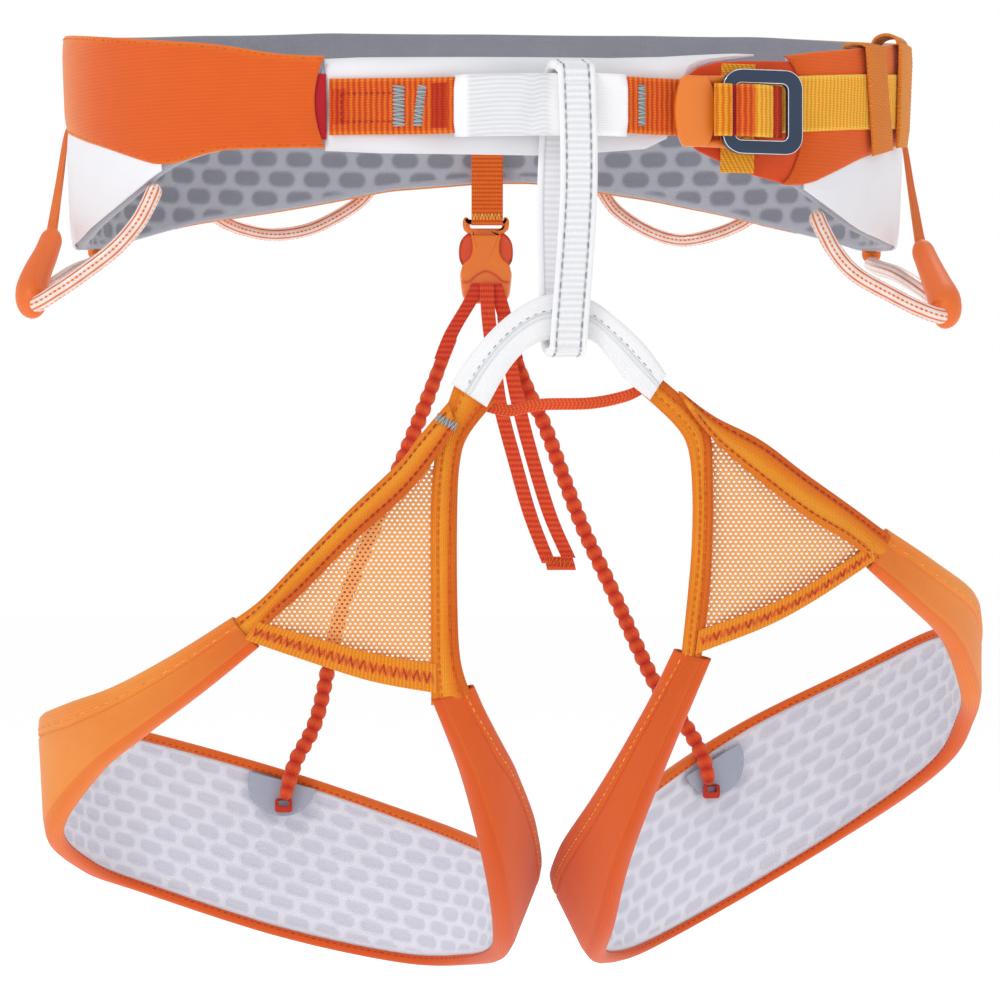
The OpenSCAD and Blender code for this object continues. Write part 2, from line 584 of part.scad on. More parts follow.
// A pad's layers; side is 1 where the list runs clockwise seen from above
module pad_layer(top, bottom, section, side) {
    ribbon(smooth(top, pad_steps), smooth(bottom, pad_steps), section, side);
}
module pad_lining(top, bottom, side) {
    color(leg_grey) pad_layer(top, bottom, flat(0, lining_out, 2, pad_columns), side);
}
module pad_core(top, bottom, side) {
    color("lightgray") pad_layer(top, bottom, flat(core_in + slack, core_out - slack, 2, pad_columns), side);
}
module pad_strands(top, bottom, side) {
    for (share = [0.35, 0.65]) color("white")
        pad_layer(top, bottom, [for (p = flat(strands_in, strands_out - slack))
            [share, (p[0] - 0.5) * strand_w, p[2]]], side);
}
// The shell wraps both edges of the pad and ends in a binding on its inner face
wrap_w = 1.9;
shares = [for (i = [0 : pad_columns]) i / pad_columns];
shell_section = concat([[0, wrap_w, 0], [0, 0, 0]], [for (s = shares) [s, 0, shell_out]],
    [[1, 0, 0], [1, -wrap_w, 0], [1, -wrap_w, lining_out * 0.5], [1, -fabric_t, lining_out * 0.5]],
    [for (s = reversed(shares)) [s, fabric_t * (1 - 2 * s), shell_in]],
    [[0, fabric_t, lining_out * 0.5], [0, wrap_w, lining_out * 0.5]]);
module pad_shell(top, bottom, side) {
    color(shell_orange) pad_layer(top, bottom, shell_section, side);
}
module left_leg_pad_lining() { pad_lining(left_pad_top, left_pad_bottom, 1); }
module right_leg_pad_lining() { pad_lining(right_pad_top, right_pad_bottom, -1); }
module left_leg_pad_core() { pad_core(left_pad_top, left_pad_bottom, 1); }
module right_leg_pad_core() { pad_core(right_pad_top, right_pad_bottom, -1); }
module left_leg_load_strands() { pad_strands(left_pad_top, left_pad_bottom, 1); }
module right_leg_load_strands() { pad_strands(right_pad_top, right_pad_bottom, -1); }
module left_leg_pad_shell() { pad_shell(left_pad_top, left_pad_bottom, 1); }
module right_leg_pad_shell() { pad_shell(right_pad_top, right_pad_bottom, -1); }

// The half-round patch on the inside of each rear panel, and the hook on the riser's end
patch_r = 12;
patch_t = 0.6;
module riser_patch(at, turn, tilt) {
    color("lightsteelblue") translate(at) rotate([tilt, 0, turn]) difference() {
        rotate([90, 0, 0]) cylinder(h = patch_t, r = patch_r);
        translate([-patch_r - 1, -2, 0]) cube([2 * patch_r + 2, 4, patch_r + 1]);
    }
}
left_patch = [-77, 79.4, -238];
right_patch = [86, 77.2, -230];
module left_leg_riser_patch() { riser_patch(left_patch, 2, -2); }
module right_leg_riser_patch() { riser_patch(right_patch, 24, -4); }
hook_w = 6.6;
module riser_hook(at, turn) {
    color(red_orange) translate(at) rotate([0, 0, turn]) difference() {
        cube([hook_w, 2.4, 5], center = true);
        translate([0, 0, 0.8]) cube([hook_w - 2.4, 3, 1.6], center = true);
    }
}
module left_leg_riser_hook() { riser_hook([-76.5, 76.2, -245.5], 2); }
module right_leg_riser_hook() { riser_hook([84.8, 73.6, -240], 24); }
module left_leg_bartack() {
    color("gray") translate([-12.5, -109.6, -104]) rotate([0, 28, 0]) cube([7.4, 0.7, 2.6], center = true);
}

belt_inner_lining();
belt_foam_core();
belt_load_strands();
left_outer_shell();
right_outer_shell();
rear_outer_panel();
left_wing_panel();
right_wing_panel();
right_front_flap();
front_tongue();
tie_in_webbing();
upper_tie_in_sleeve();
webbing_bartacks();
waist_buckle_plate();
waist_buckle_frame();
adjust_strap();
strap_guide_loop();
strap_keeper_front();
strap_keeper_rear();
belay_loop();
lower_tie_in_sleeve();
leg_link_strap();
rear_strap();
rear_buckle_plug();
rear_buckle_prong_left();
rear_buckle_prong_right();
rear_buckle_socket();
riser_yoke_webbing();
left_riser();
right_riser();
riser_tail_loop();
front_left_gear_loop();
front_left_loop_tip();
front_left_loop_strap();
front_right_gear_loop();
front_right_loop_tip();
front_right_loop_strap();
rear_left_gear_loop();
rear_right_gear_loop();
left_leg_outer_arm();
left_leg_inner_arm();
left_leg_mesh_panel();
left_leg_elastic_band();
left_leg_pad_lining();
left_leg_pad_core();
left_leg_load_strands();
left_leg_pad_shell();
left_leg_riser_patch();
left_leg_riser_hook();
left_leg_bartack();
right_leg_outer_arm();
right_leg_inner_arm();
right_leg_mesh_panel();
right_leg_elastic_band();
right_leg_pad_lining();
right_leg_pad_core();
right_leg_load_strands();
right_leg_pad_shell();
right_leg_riser_patch();
right_leg_riser_hook();
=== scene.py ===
# Looks of the climbing harness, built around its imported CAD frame. Lengths are in millimetres until a
# mesh is made; angles of the belt are in degrees, 0 at the front and 90 on the viewer's right.
import math

import bpy
import numpy as np
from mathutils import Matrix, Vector


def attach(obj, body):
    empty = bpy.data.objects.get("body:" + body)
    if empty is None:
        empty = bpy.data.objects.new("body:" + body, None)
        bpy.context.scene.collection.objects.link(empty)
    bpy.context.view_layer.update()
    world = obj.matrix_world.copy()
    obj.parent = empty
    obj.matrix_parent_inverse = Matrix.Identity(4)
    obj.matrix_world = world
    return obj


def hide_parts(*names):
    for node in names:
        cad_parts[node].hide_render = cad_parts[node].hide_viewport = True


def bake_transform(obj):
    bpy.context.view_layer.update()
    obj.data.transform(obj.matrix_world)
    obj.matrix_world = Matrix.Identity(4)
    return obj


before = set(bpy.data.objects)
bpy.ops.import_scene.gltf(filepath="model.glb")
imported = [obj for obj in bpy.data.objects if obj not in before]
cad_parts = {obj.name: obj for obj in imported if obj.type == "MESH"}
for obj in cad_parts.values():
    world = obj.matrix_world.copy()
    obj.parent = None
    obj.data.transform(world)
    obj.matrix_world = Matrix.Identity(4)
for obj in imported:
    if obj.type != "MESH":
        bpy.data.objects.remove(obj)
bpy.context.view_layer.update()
MM = 0.001

# ---------------------------------------------------------------- camera, light and floor
scene = bpy.context.scene
camera_data = bpy.data.cameras.new("camera")
camera_data.lens = 150    # a long lens, level with the middle of the harness, looking along +Y
camera_data.sensor_width = 36
camera = bpy.data.objects.new("camera", camera_data)
camera.location = (5.4 * MM, -1.5, -130 * MM)
camera.rotation_euler = (math.radians(90), 0, 0)
camera_data.clip_start, camera_data.clip_end = 0.05, 100
scene.collection.objects.link(camera)
scene.camera = camera
scene.view_settings.view_transform = "Standard"

world = bpy.data.worlds.new("studio")
world.use_nodes = True
world.node_tree.nodes["Background"].inputs["Color"].default_value = (1, 1, 1, 1)
scene.world = world


def area_light(name, place, aim, size, watts):
    """A square soft light, with its places and size in metres."""
    data = bpy.data.lights.new(name, "AREA")
    data.energy, data.size = watts, size
    light = bpy.data.objects.new(name, data)
    light.location = place
    way = Vector(aim) - Vector(place)
    light.rotation_euler = way.to_track_quat("-Z", "Y").to_euler()
    scene.collection.objects.link(light)


area_light("key", (-0.8, -1.1, 1.3), (0, 0, -0.1), 0.45, 9)
area_light("fill", (1.6, -1.0, 0.1), (0, 0, -0.1), 1.0, 1.5)
area_light("rim", (0.3, 1.4, 1.2), (0, 0, -0.05), 0.8, 7)


# ---------------------------------------------------------------- materials
def srgb(r, g, b):
    """A colour from 0-255 display values, as linear RGBA."""
    low = [c / 255 for c in (r, g, b)]
    return tuple(c / 12.92 if c <= 0.04045 else ((c + 0.055) / 1.055) ** 2.4 for c in low) + (1.0,)


def new_node(tree, kind, inputs=None, **settings):
    """A shader node. Each of its inputs is given a value or another node's socket."""
    made = tree.nodes.new(kind)
    for key, value in settings.items():
        setattr(made, key, value)
    for key, value in (inputs or {}).items():
        if isinstance(value, bpy.types.NodeSocket):
            tree.links.new(value, made.inputs[key])
        else:
            made.inputs[key].default_value = value
    return made


def calc(tree, operation, a, b=0.0, c=0.0):
    return new_node(tree, "ShaderNodeMath", {0: a, 1: b, 2: c}, operation=operation).outputs[0]


def wave(tree, along, pitch, phase=0.0):
    """0 to 1, once every pitch millimetres."""
    turned = calc(tree, "MULTIPLY_ADD", along, 2 * math.pi / pitch, phase)
    return calc(tree, "MULTIPLY_ADD", calc(tree, "SINE", turned), 0.5, 0.5)


def weave_height(tree, kind, u, v, pitch):
    """The height of a plain weave, a twill, or lines along the cloth."""
    if kind == "plain":
        return calc(tree, "MULTIPLY", wave(tree, u, pitch), wave(tree, v, pitch))
    if kind == "twill":
        lean = calc(tree, "ADD", u, v)
        return calc(tree, "MULTIPLY", wave(tree, lean, pitch * 1.6), wave(tree, v, pitch * 0.8))
    return calc(tree, "MAXIMUM", wave(tree, v, pitch), calc(tree, "MULTIPLY", wave(tree, u, pitch), 0.4))


def blank(name, values):
    """A new material, with its node tree and its shader, some of whose values are set."""
    made = bpy.data.materials.new(name)
    made.use_nodes = True
    shader = made.node_tree.nodes["Principled BSDF"]
    for key, value in values.items():
        shader.inputs[key].default_value = value
    return made, made.node_tree, shader


def add_relief(tree, shader, height, depth):
    """Bump from a height, with its depth in millimetres."""
    relief = new_node(tree, "ShaderNodeBump", {"Height": height, "Distance": depth * MM, "Strength": 1.0})
    tree.links.new(relief.outputs["Normal"], shader.inputs["Normal"])


def fabric(name, colours, places=None, rough=0.85, sheen=0.2, kind="plain", pitch=0.7, bump=0.06, shade=0.12,
           mottle=0.08, specular=0.25, coat=0.0):
    """Cloth whose colour runs through 0-255 colours as its tone goes from 0 to 1, evenly or at the given
    places, with a weave at its real pitch in millimetres."""
    made, tree, shader = blank(name, {"Roughness": rough, "Sheen Weight": sheen, "Sheen Roughness": 0.5,
                                      "Specular IOR Level": specular, "Coat Weight": coat,
                                      "Coat Roughness": 0.12})
    tone = new_node(tree, "ShaderNodeAttribute", attribute_name="tone").outputs["Fac"]
    ramp = new_node(tree, "ShaderNodeValToRGB", {"Fac": tone})
    while len(ramp.color_ramp.elements) < len(colours):
        ramp.color_ramp.elements.new(0.5)
    places = places or np.linspace(0, 1, len(colours))
    for element, place, colour in zip(ramp.color_ramp.elements, places, colours):
        element.position, element.color = place, srgb(*colour)
    cloth = new_node(tree, "ShaderNodeAttribute", attribute_name="cloth").outputs["Vector"]
    split = new_node(tree, "ShaderNodeSeparateXYZ", {"Vector": cloth})
    height = weave_height(tree, kind, split.outputs["X"], split.outputs["Y"], pitch)
    blotch = new_node(tree, "ShaderNodeTexNoise", {"Vector": cloth, "Scale": 0.11, "Detail": 4.0})
    dark = calc(tree, "MULTIPLY_ADD", height, shade, 1 - shade)
    soft = calc(tree, "MULTIPLY_ADD", blotch.outputs["Fac"], 2 * mottle, 1 - mottle)
    grey = new_node(tree, "ShaderNodeCombineColor", {k: calc(tree, "MULTIPLY", dark, soft)
                                                     for k in ("Red", "Green", "Blue")})
    colour = new_node(tree, "ShaderNodeMix", data_type="RGBA", blend_type="MULTIPLY")
    colour.inputs["Factor"].default_value = 1.0
    tree.links.new(ramp.outputs["Color"], colour.inputs[6])
    tree.links.new(grey.outputs["Color"], colour.inputs[7])
    tree.links.new(colour.outputs[2], shader.inputs["Base Color"])
    add_relief(tree, shader, height, bump)
    return made


def thread(colour, dark, pale, shade=0.2, **settings):
    return fabric(colour + "_thread", [dark, pale], kind="lines", pitch=0.5, bump=0.03, shade=shade,
                  sheen=0.05, **settings)


def moulded(name, dark, pale, rough=0.4, metal=0.0, coat=0.0, bump=0.02, specular=0.5):
    """Moulded plastic, rubber or anodised metal with a fine grain and a slight change of colour."""
    made, tree, shader = blank(name, {"Metallic": metal, "Coat Weight": coat, "Coat Roughness": 0.15,
                                      "Specular IOR Level": specular})
    place = new_node(tree, "ShaderNodeTexCoord").outputs["Object"]
    cloud = new_node(tree, "ShaderNodeTexNoise", {"Vector": place, "Scale": 60.0, "Detail": 3.0})
    tone = new_node(tree, "ShaderNodeAttribute", attribute_name="tone").outputs["Fac"]
    mix = calc(tree, "MULTIPLY_ADD", cloud.outputs["Fac"], 0.35, tone)
    ramp = new_node(tree, "ShaderNodeValToRGB", {"Fac": mix})
    for element, colour in zip(ramp.color_ramp.elements, (dark, pale)):
        element.color = srgb(*colour)
    tree.links.new(ramp.outputs["Color"], shader.inputs["Base Color"])
    grain = new_node(tree, "ShaderNodeTexNoise", {"Vector": place, "Scale": 600.0, "Detail": 2.0})
    uneven = calc(tree, "MULTIPLY_ADD", grain.outputs["Fac"], 0.2, rough - 0.1)
    tree.links.new(uneven, shader.inputs["Roughness"])
    add_relief(tree, shader, grain.outputs["Fac"], bump)
    return made


# The studio is white round the horizon and dimmer overhead, so that light falls softly from all sides
sky = new_node(world.node_tree, "ShaderNodeTexCoord").outputs["Generated"]
sky = new_node(world.node_tree, "ShaderNodeSeparateXYZ", {"Vector": sky}).outputs["Z"]
sky = new_node(world.node_tree, "ShaderNodeMapRange", {"Value": sky, "From Min": 0.16, "From Max": 0.45,
                                                       "To Min": 1.0, "To Max": 0.62})
world.node_tree.links.new(sky.outputs["Result"], world.node_tree.nodes["Background"].inputs["Strength"])

M = {
    "lining": fabric("belt_lining_knit", [(124, 126, 138), (140, 142, 153), (180, 182, 193)], pitch=0.9,
                     bump=0.12, shade=0.10),
    "shell": fabric("shell_stretch_weave", [(200, 70, 20), (222, 94, 26), (240, 152, 58)], kind="lines",
                    pitch=1.25, bump=0.05, shade=0.09, mottle=0.04),
    "facing": fabric("shell_facing", [(150, 12, 34), (205, 32, 44)], pitch=0.8, shade=0.2),
    "flap": fabric("flap_weave", [(202, 54, 24), (236, 92, 38)], pitch=0.5, shade=0.06),
    "white": fabric("white_shell", [(184, 186, 194), (244, 244, 248)], pitch=0.45, shade=0.04, mottle=0.03,
                    bump=0.02),
    "web": fabric("tie_in_webbing", [(182, 40, 14), (222, 86, 22), (240, 150, 52)], (0, 0.45, 1),
                  kind="lines", pitch=0.85, bump=0.10, shade=0.22, sheen=0.1),
    "web_yellow": fabric("adjust_webbing", [(218, 110, 16), (240, 168, 40), (250, 212, 96)], (0, 0.45, 1),
                         kind="lines", pitch=0.85, bump=0.10, shade=0.18, sheen=0.1),
    "sleeve": fabric("white_sleeve", [(156, 158, 166), (214, 215, 220), (247, 247, 249)], kind="lines",
                     pitch=0.8, bump=0.05, shade=0.05, mottle=0.03),
    "thread": thread("grey", (120, 132, 136), (186, 196, 198), specular=0.4),
    "thread_white": thread("white", (170, 172, 178), (214, 216, 220), 0.15),
    "thread_orange": thread("orange", (206, 78, 24), (236, 122, 44)),
    "thread_yellow": thread("yellow", (226, 140, 40), (246, 190, 96)),
    "elastic": fabric("keeper_elastic", [(214, 96, 30), (242, 160, 62)], kind="twill", pitch=1.2, bump=0.12,
                      shade=0.2, sheen=0.1),
    "riser": fabric("riser_elastic", [(192, 36, 22), (226, 72, 34), (240, 116, 56)], kind="twill", pitch=1.0,
                    bump=0.1, shade=0.2),
    "strap_red": fabric("narrow_strap", [(176, 28, 30), (222, 66, 36), (240, 118, 50)], kind="lines",
                        pitch=0.9, bump=0.1, shade=0.2),
    "arm": fabric("leg_arm_webbing", [(200, 76, 16), (229, 128, 26), (243, 176, 54)], kind="lines", pitch=0.8,
                  bump=0.1, shade=0.16, sheen=0.1),
    "mesh": fabric("open_mesh", [(226, 136, 66), (246, 190, 122)], pitch=0.5, shade=0.1, bump=0.03),
    "leg_lining": fabric("leg_lining_knit", [(202, 204, 219), (214, 216, 229), (233, 235, 245)], pitch=0.9,
                         bump=0.10, shade=0.07, mottle=0.04),
    "patch": fabric("grey_patch", [(148, 154, 172), (182, 188, 204)], pitch=0.4, shade=0.05, bump=0.02),
    "loop": fabric("gear_loop_tube", [(204, 88, 40), (232, 140, 92), (238, 206, 190), (242, 230, 225)],
                   (0, 0.35, 0.7, 1), kind="twill", pitch=0.9, rough=0.35, bump=0.05, shade=0.05, mottle=0.02,
                   specular=0.5, coat=0.6),
    "tape": fabric("loop_strap_tape", [(214, 84, 30), (238, 132, 52)], kind="lines"),
    "plate": moulded("satin_orange_plate", (226, 114, 22), (234, 132, 34), rough=0.38, coat=0.15),
    "navy": moulded("anodised_navy", (34, 48, 68), (50, 68, 92), rough=0.36, metal=0.4, bump=0.01),
    "edge_metal": moulded("edge_line_metal", (196, 202, 214), (236, 238, 244), rough=0.22, metal=0.9, bump=0.005),
    "plastic": moulded("orange_plastic", (222, 96, 14), (238, 136, 26), rough=0.36, coat=0.25),
    "plastic_red": moulded("prong_plastic", (206, 62, 26), (226, 84, 34)),
    "tip": moulded("soft_orange_tip", (226, 98, 26), (238, 122, 42), rough=0.5),
    "floor": moulded("pale_floor", (250, 250, 250), (252, 252, 252), rough=0.9, specular=0.0),
}
floor_shader = M["floor"].node_tree.nodes["Principled BSDF"]
floor_shader.inputs["Emission Color"].default_value = (1, 1, 1, 1)
floor_shader.inputs["Emission Strength"].default_value = 0.35


# ---------------------------------------------------------------- curves and surfaces
def unit(v):
    return v / np.maximum(np.linalg.norm(v, axis=-1, keepdims=True), 1e-9)


def smooth(points, n=12, ring=False):
    """A Catmull-Rom curve through the points, with n steps between neighbours."""
    p = np.array(points, float)
    m = len(p)
    spans = m if ring else m - 1
    t = np.arange(spans * n + (0 if ring else 1)) / n
    k = np.minimum(t.astype(int), spans - 1)
    u = (t - k)[:, None]

    def at(i):
        return p[i % m] if ring else p[np.clip(i, 0, m - 1)]

    a, b, c, d = at(k - 1), at(k), at(k + 1), at(k + 2)
    return 0.5 * (2 * b + (c - a) * u + (2 * a - 5 * b + 4 * c - d) * u * u
                  + (3 * b - a - 3 * c + d) * u ** 3)


def lengths(p):
    """Length from the first point of a line to each of its points."""
    return np.concatenate([[0], np.cumsum(np.linalg.norm(np.diff(p, axis=0), axis=1))])


def spaced(lines, step, ring=False):
    """Lines of the same number of points, resampled at even steps of their middle's length."""
    lines = [np.vstack([p, p[:1]]) if ring else p for p in lines]
    d = lengths(sum(lines) / len(lines))
    count = max(int(round(d[-1] / step)), 2)
    t = np.linspace(0, d[-1], count + 1)
    made = [np.stack([np.interp(t, d, p[:, c]) for c in range(3)], 1) for p in lines]
    return [p[:-1] if ring else p for p in made], (t[:-1] if ring else t)


def edge_steps(width, step, soft):
    """Shares from 0 to 1 across a width, closer together within soft of each edge."""
    near = [soft * x for x in (0, 0.08, 0.28, 0.6)]
    count = max(int(round((width - 2 * soft) / step)), 2)
    inner = list(np.linspace(soft, width - soft, count + 1))
    return np.array(near + inner + [width - x for x in reversed(near)]) / width


class Band:
    """A grid of points p and outward directions n, with lengths u along and v across."""

    def __init__(self, p, n, u, v, ring=False):
        self.p, self.n, self.u, self.v, self.ring = p, n, u, v, ring
        self.width = v[:, -1:] - v[:, :1]

    def across(self):
        """Distance over the surface to the nearer long edge."""
        tall = np.linalg.norm(np.diff(self.p, axis=1), axis=-1).cumsum(1)
        tall = np.hstack([np.zeros((self.p.shape[0], 1)), tall])
        return np.minimum(tall, tall[:, -1:] - tall)

    def ends(self):
        """Distance over the surface to the nearer end."""
        long_way = np.linalg.norm(np.diff(self.p, axis=0), axis=-1).cumsum(0)
        long_way = np.vstack([np.zeros((1, self.p.shape[1])), long_way])
        return np.minimum(long_way, long_way[-1:] - long_way)

    def track(self, share, out, first=0.0, last=1.0):
        """A line on the band at a share of its width, and its outward directions."""
        s = (self.v[0] - self.v[0, 0]) / (self.v[0, -1] - self.v[0, 0])
        j = np.interp(share, s, np.arange(len(s)))
        k = min(int(j), self.p.shape[1] - 2)
        line = self.p[:, k] * (1 - j + k) + self.p[:, k + 1] * (j - k)
        way = self.n[:, k]
        a, b = int(first * (len(line) - 1)), int(last * (len(line) - 1)) + 1
        return (line + way * out)[a:b], way[a:b]


def ribbon(edge_a, edge_b, step=1.0, across=1.0, soft=0.8, side=1, ring=False, steps=12):
    """The band between two edges given by a few points each."""
    (a, b), t = spaced([smooth(edge_a, steps, ring), smooth(edge_b, steps, ring)], step, ring)
    w = b - a
    width = np.linalg.norm(w, axis=1)
    s = edge_steps(width.mean(), across, soft)
    mid = (a + b) / 2
    if ring:
        way = np.roll(mid, -1, 0) - np.roll(mid, 1, 0)
    else:
        way = np.gradient(mid, axis=0)
    out = side * unit(np.cross(way, w))
    p = a[:, None] + w[:, None] * s[None, :, None]
    n = np.repeat(out[:, None], len(s), 1)
    u = np.repeat(t[:, None], len(s), 1)
    v = width[:, None] * s[None]
    return Band(p, n, u, v, ring)


def make_mesh(name, verts, faces, material, tone=0.5, cloth=None):
    """An object from points in millimetres and lists of faces. Each point has a tone, from 0 for the dark end
    of its material's colours to 1, and a place in the cloth for the weave."""
    mesh = bpy.data.meshes.new(name)
    mesh.vertices.add(len(verts))
    mesh.vertices.foreach_set("co", (np.asarray(verts, np.float64) * MM).astype(np.float32).ravel())
    sizes = np.concatenate([np.full(len(f), f.shape[1]) for f in faces])
    loops = np.concatenate([f.ravel() for f in faces])
    mesh.loops.add(len(loops))
    mesh.loops.foreach_set("vertex_index", loops.astype(np.int32))
    mesh.polygons.add(len(sizes))
    starts = np.concatenate([[0], np.cumsum(sizes)[:-1]])
    mesh.polygons.foreach_set("loop_start", starts.astype(np.int32))
    mesh.polygons.foreach_set("use_smooth", np.ones(len(sizes), bool))
    mesh.update(calc_edges=True)
    tone = np.clip(np.broadcast_to(tone, len(verts)), 0, 1)
    mesh.attributes.new("tone", "FLOAT", "POINT").data.foreach_set("value", tone.astype(np.float32))
    cloth = np.asarray(verts if cloth is None else cloth, np.float32)
    mesh.attributes.new("cloth", "FLOAT_VECTOR", "POINT").data.foreach_set("vector", cloth.ravel())
    mesh.materials.append(M[material])
    made = bpy.data.objects.new(name, mesh)
    scene.collection.objects.link(made)
    return made


def put(made, body, slot, *nodes):
    """Sets what a piece rides on and hides the CAD nodes that it stands for. slot, the slot of its finish, is
    not used.
    """
    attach(made, body)
    if nodes:
        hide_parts(*nodes)
    return made


def closed(grid, axis=-1):
    """A grid of vertex numbers with its first row or column repeated at its end."""
    return np.concatenate([grid, np.take(grid, [0], axis)], axis)


def quads_of(grid, flip=False):
    """Quads between the neighbours in a grid of vertex numbers."""
    a, b = grid[..., :-1, :-1], grid[..., :-1, 1:]
    c, d = grid[..., 1:, 1:], grid[..., 1:, :-1]
    return np.stack([a, d, c, b] if flip else [a, b, c, d], -1).reshape(-1, 4)


def grid_faces(rows, cols, start=0, flip=False, ring=False):
    """Quads of a whole grid, whose last row may join the first one."""
    i, j = np.meshgrid(np.arange(rows if ring else rows - 1), np.arange(cols - 1), indexing="ij")
    k = (i + 1) % rows
    quad = np.stack([i * cols + j, k * cols + j, k * cols + j + 1, i * cols + j + 1], -1).reshape(-1, 4)
    return (quad[:, ::-1] if flip else quad) + start


def join_faces(a, b, ring=False):
    """Quads between two lists of vertex numbers of the same length."""
    a, b = np.asarray(a), np.asarray(b)
    if ring:
        a, b = np.append(a, a[0]), np.append(b, b[0])
    return np.stack([a[:-1], a[1:], b[1:], b[:-1]], -1)


EDGE = 0.25    # share of a cloth's thickness that is left at its very edge


def band_solid(name, band, material, inner, outer, soft=0.8, tone=0.5, tone_in=None):
    """A closed slab of cloth on a band, from inner to outer, with edges rounded over soft. Its inner face may
    have a tone of its own."""
    inner = np.broadcast_to(inner, band.u.shape).astype(float)
    outer = np.broadcast_to(outer, band.u.shape).astype(float)
    near = band.across() if band.ring else np.minimum(band.across(), band.ends())
    x = np.clip(near / soft, 0, 1)
    full = EDGE + (1 - EDGE) * np.sqrt(1 - (1 - x) ** 2)
    mid, half = (inner + outer) / 2, (outer - inner) / 2 * full
    top = band.p + band.n * (mid + half)[..., None]
    low = band.p + band.n * (mid - half)[..., None]
    rows, cols = band.u.shape
    count = rows * cols
    flip = np.dot(np.cross(top[1, 0] - top[0, 0], top[0, 1] - top[0, 0]), band.n[0, 0]) < 0
    faces = [grid_faces(rows, cols, 0, flip, band.ring), grid_faces(rows, cols, count, not flip, band.ring)]
    index = np.arange(count).reshape(rows, cols)
    sides = [join_faces(index[:, -1], index[:, -1] + count, band.ring),
             join_faces(index[:, 0] + count, index[:, 0], band.ring)]
    if not band.ring:
        sides += [join_faces(index[0], index[0] + count), join_faces(index[-1] + count, index[-1])]
    faces += [f[:, ::-1] if flip else f for f in sides]
    t_out = np.broadcast_to(tone, band.u.shape)
    t_in = t_out if tone_in is None else np.broadcast_to(tone_in, band.u.shape)
    cloth = np.stack([band.u, band.v, np.zeros_like(band.u)], -1).reshape(-1, 3)
    return make_mesh(name, np.vstack([top.reshape(-1, 3), low.reshape(-1, 3)]), faces, material,
                     np.concatenate([t_out.ravel(), t_in.ravel()]), np.vstack([cloth, cloth]))


def tube(name, points, radius, material, sides=16, step=1.0, up=(0, 0, 1), flat=1.0, tone=0.5):
    """A tube with round ends through a few points. Its section is flat times as wide across up as along it.
    radius and tone may be functions of (length along, angle, total length)."""
    (line,), t = spaced([smooth(points)], step)
    way = unit(np.gradient(line, axis=0))
    u = unit(np.cross(way, np.broadcast_to(np.array(up, float), line.shape)))
    v = np.cross(way, u)
    angle = 2 * np.pi * np.arange(sides) / sides
    total = t[-1]
    along, turn = np.meshgrid(t, angle, indexing="ij")

    def spread(value):
        return value(along, turn, total) if callable(value) else np.full(along.shape, float(value))

    r = spread(radius)
    end = np.minimum(along, total - along)
    r = r * np.sqrt(np.clip(1 - (1 - np.clip(end / np.max(r), 0, 1)) ** 2, 0.02, 1))
    ring = u[:, None] * (np.cos(turn) * flat)[..., None] + v[:, None] * np.sin(turn)[..., None]
    p = line[:, None] + ring * r[..., None]
    n = len(t) * sides
    loop = closed(np.arange(n).reshape(len(t), sides))
    verts = np.vstack([p.reshape(-1, 3), line[:1], line[-1:]])
    start = np.stack([loop[0, 1:], loop[0, :-1], np.full(sides, n)], -1)
    stop = np.stack([loop[-1, :-1], loop[-1, 1:], np.full(sides, n + 1)], -1)
    tones = spread(tone)
    tones = np.concatenate([tones.ravel(), [tones[0, 0], tones[-1, 0]]])
    cloth = np.stack([along, turn * np.max(r), np.zeros_like(along)], -1).reshape(-1, 3)
    cloth = np.vstack([cloth, cloth[:1], cloth[-1:]])
    return make_mesh(name, verts, [quads_of(loop), start, stop], material, tones, cloth)


def stitch_shape(radius):
    """One stitch 1 mm long, along X, with its ends dipping down: points and faces."""
    xs = np.array([-0.5, -0.42, -0.2, 0.0, 0.2, 0.42, 0.5])
    rs = np.array([0.35, 0.8, 1.0, 1.0, 1.0, 0.8, 0.35]) * radius
    zs = np.array([-1.3, -0.5, 0.35, 0.5, 0.35, -0.5, -1.3]) * radius
    turn = 2 * np.pi * np.arange(6) / 6
    p = np.stack([np.repeat(xs, 6), (rs[:, None] * np.cos(turn)).ravel(),
                  (rs[:, None] * np.sin(turn) + zs[:, None]).ravel()], 1)
    index = np.arange(42).reshape(7, 6)
    return p, quads_of(closed(index), True), np.array([index[0], index[-1, ::-1]])


def stitch_mesh(name, centres, ways, outs, lens, radius, material):
    """Many stitches as one mesh: each has a centre, a direction, an outward direction and a length."""
    p, quads, ends = stitch_shape(radius)
    centres, lens = np.array(centres), np.array(lens, float)
    ways, outs = unit(np.array(ways)), unit(np.array(outs))
    sides = unit(np.cross(outs, ways))
    outs = np.cross(ways, sides)
    shape = p[None] * np.stack([lens, np.ones_like(lens), np.ones_like(lens)], -1)[:, None]
    verts = (centres[:, None] + shape[..., :1] * ways[:, None] + shape[..., 1:2] * sides[:, None]
             + shape[..., 2:] * outs[:, None])
    count = len(centres)
    shift = (np.arange(count) * len(p))[:, None, None]
    faces = [(quads[None] + shift).reshape(-1, 4), (ends[None] + shift).reshape(-1, 6)]
    tones = np.repeat(0.55 + 0.35 * np.sin(np.arange(count) * 2.4), len(p))
    return make_mesh(name, verts.reshape(-1, 3), faces, material, tones,
                     np.repeat(centres, len(p), 0) + np.tile(p, (count, 1)))


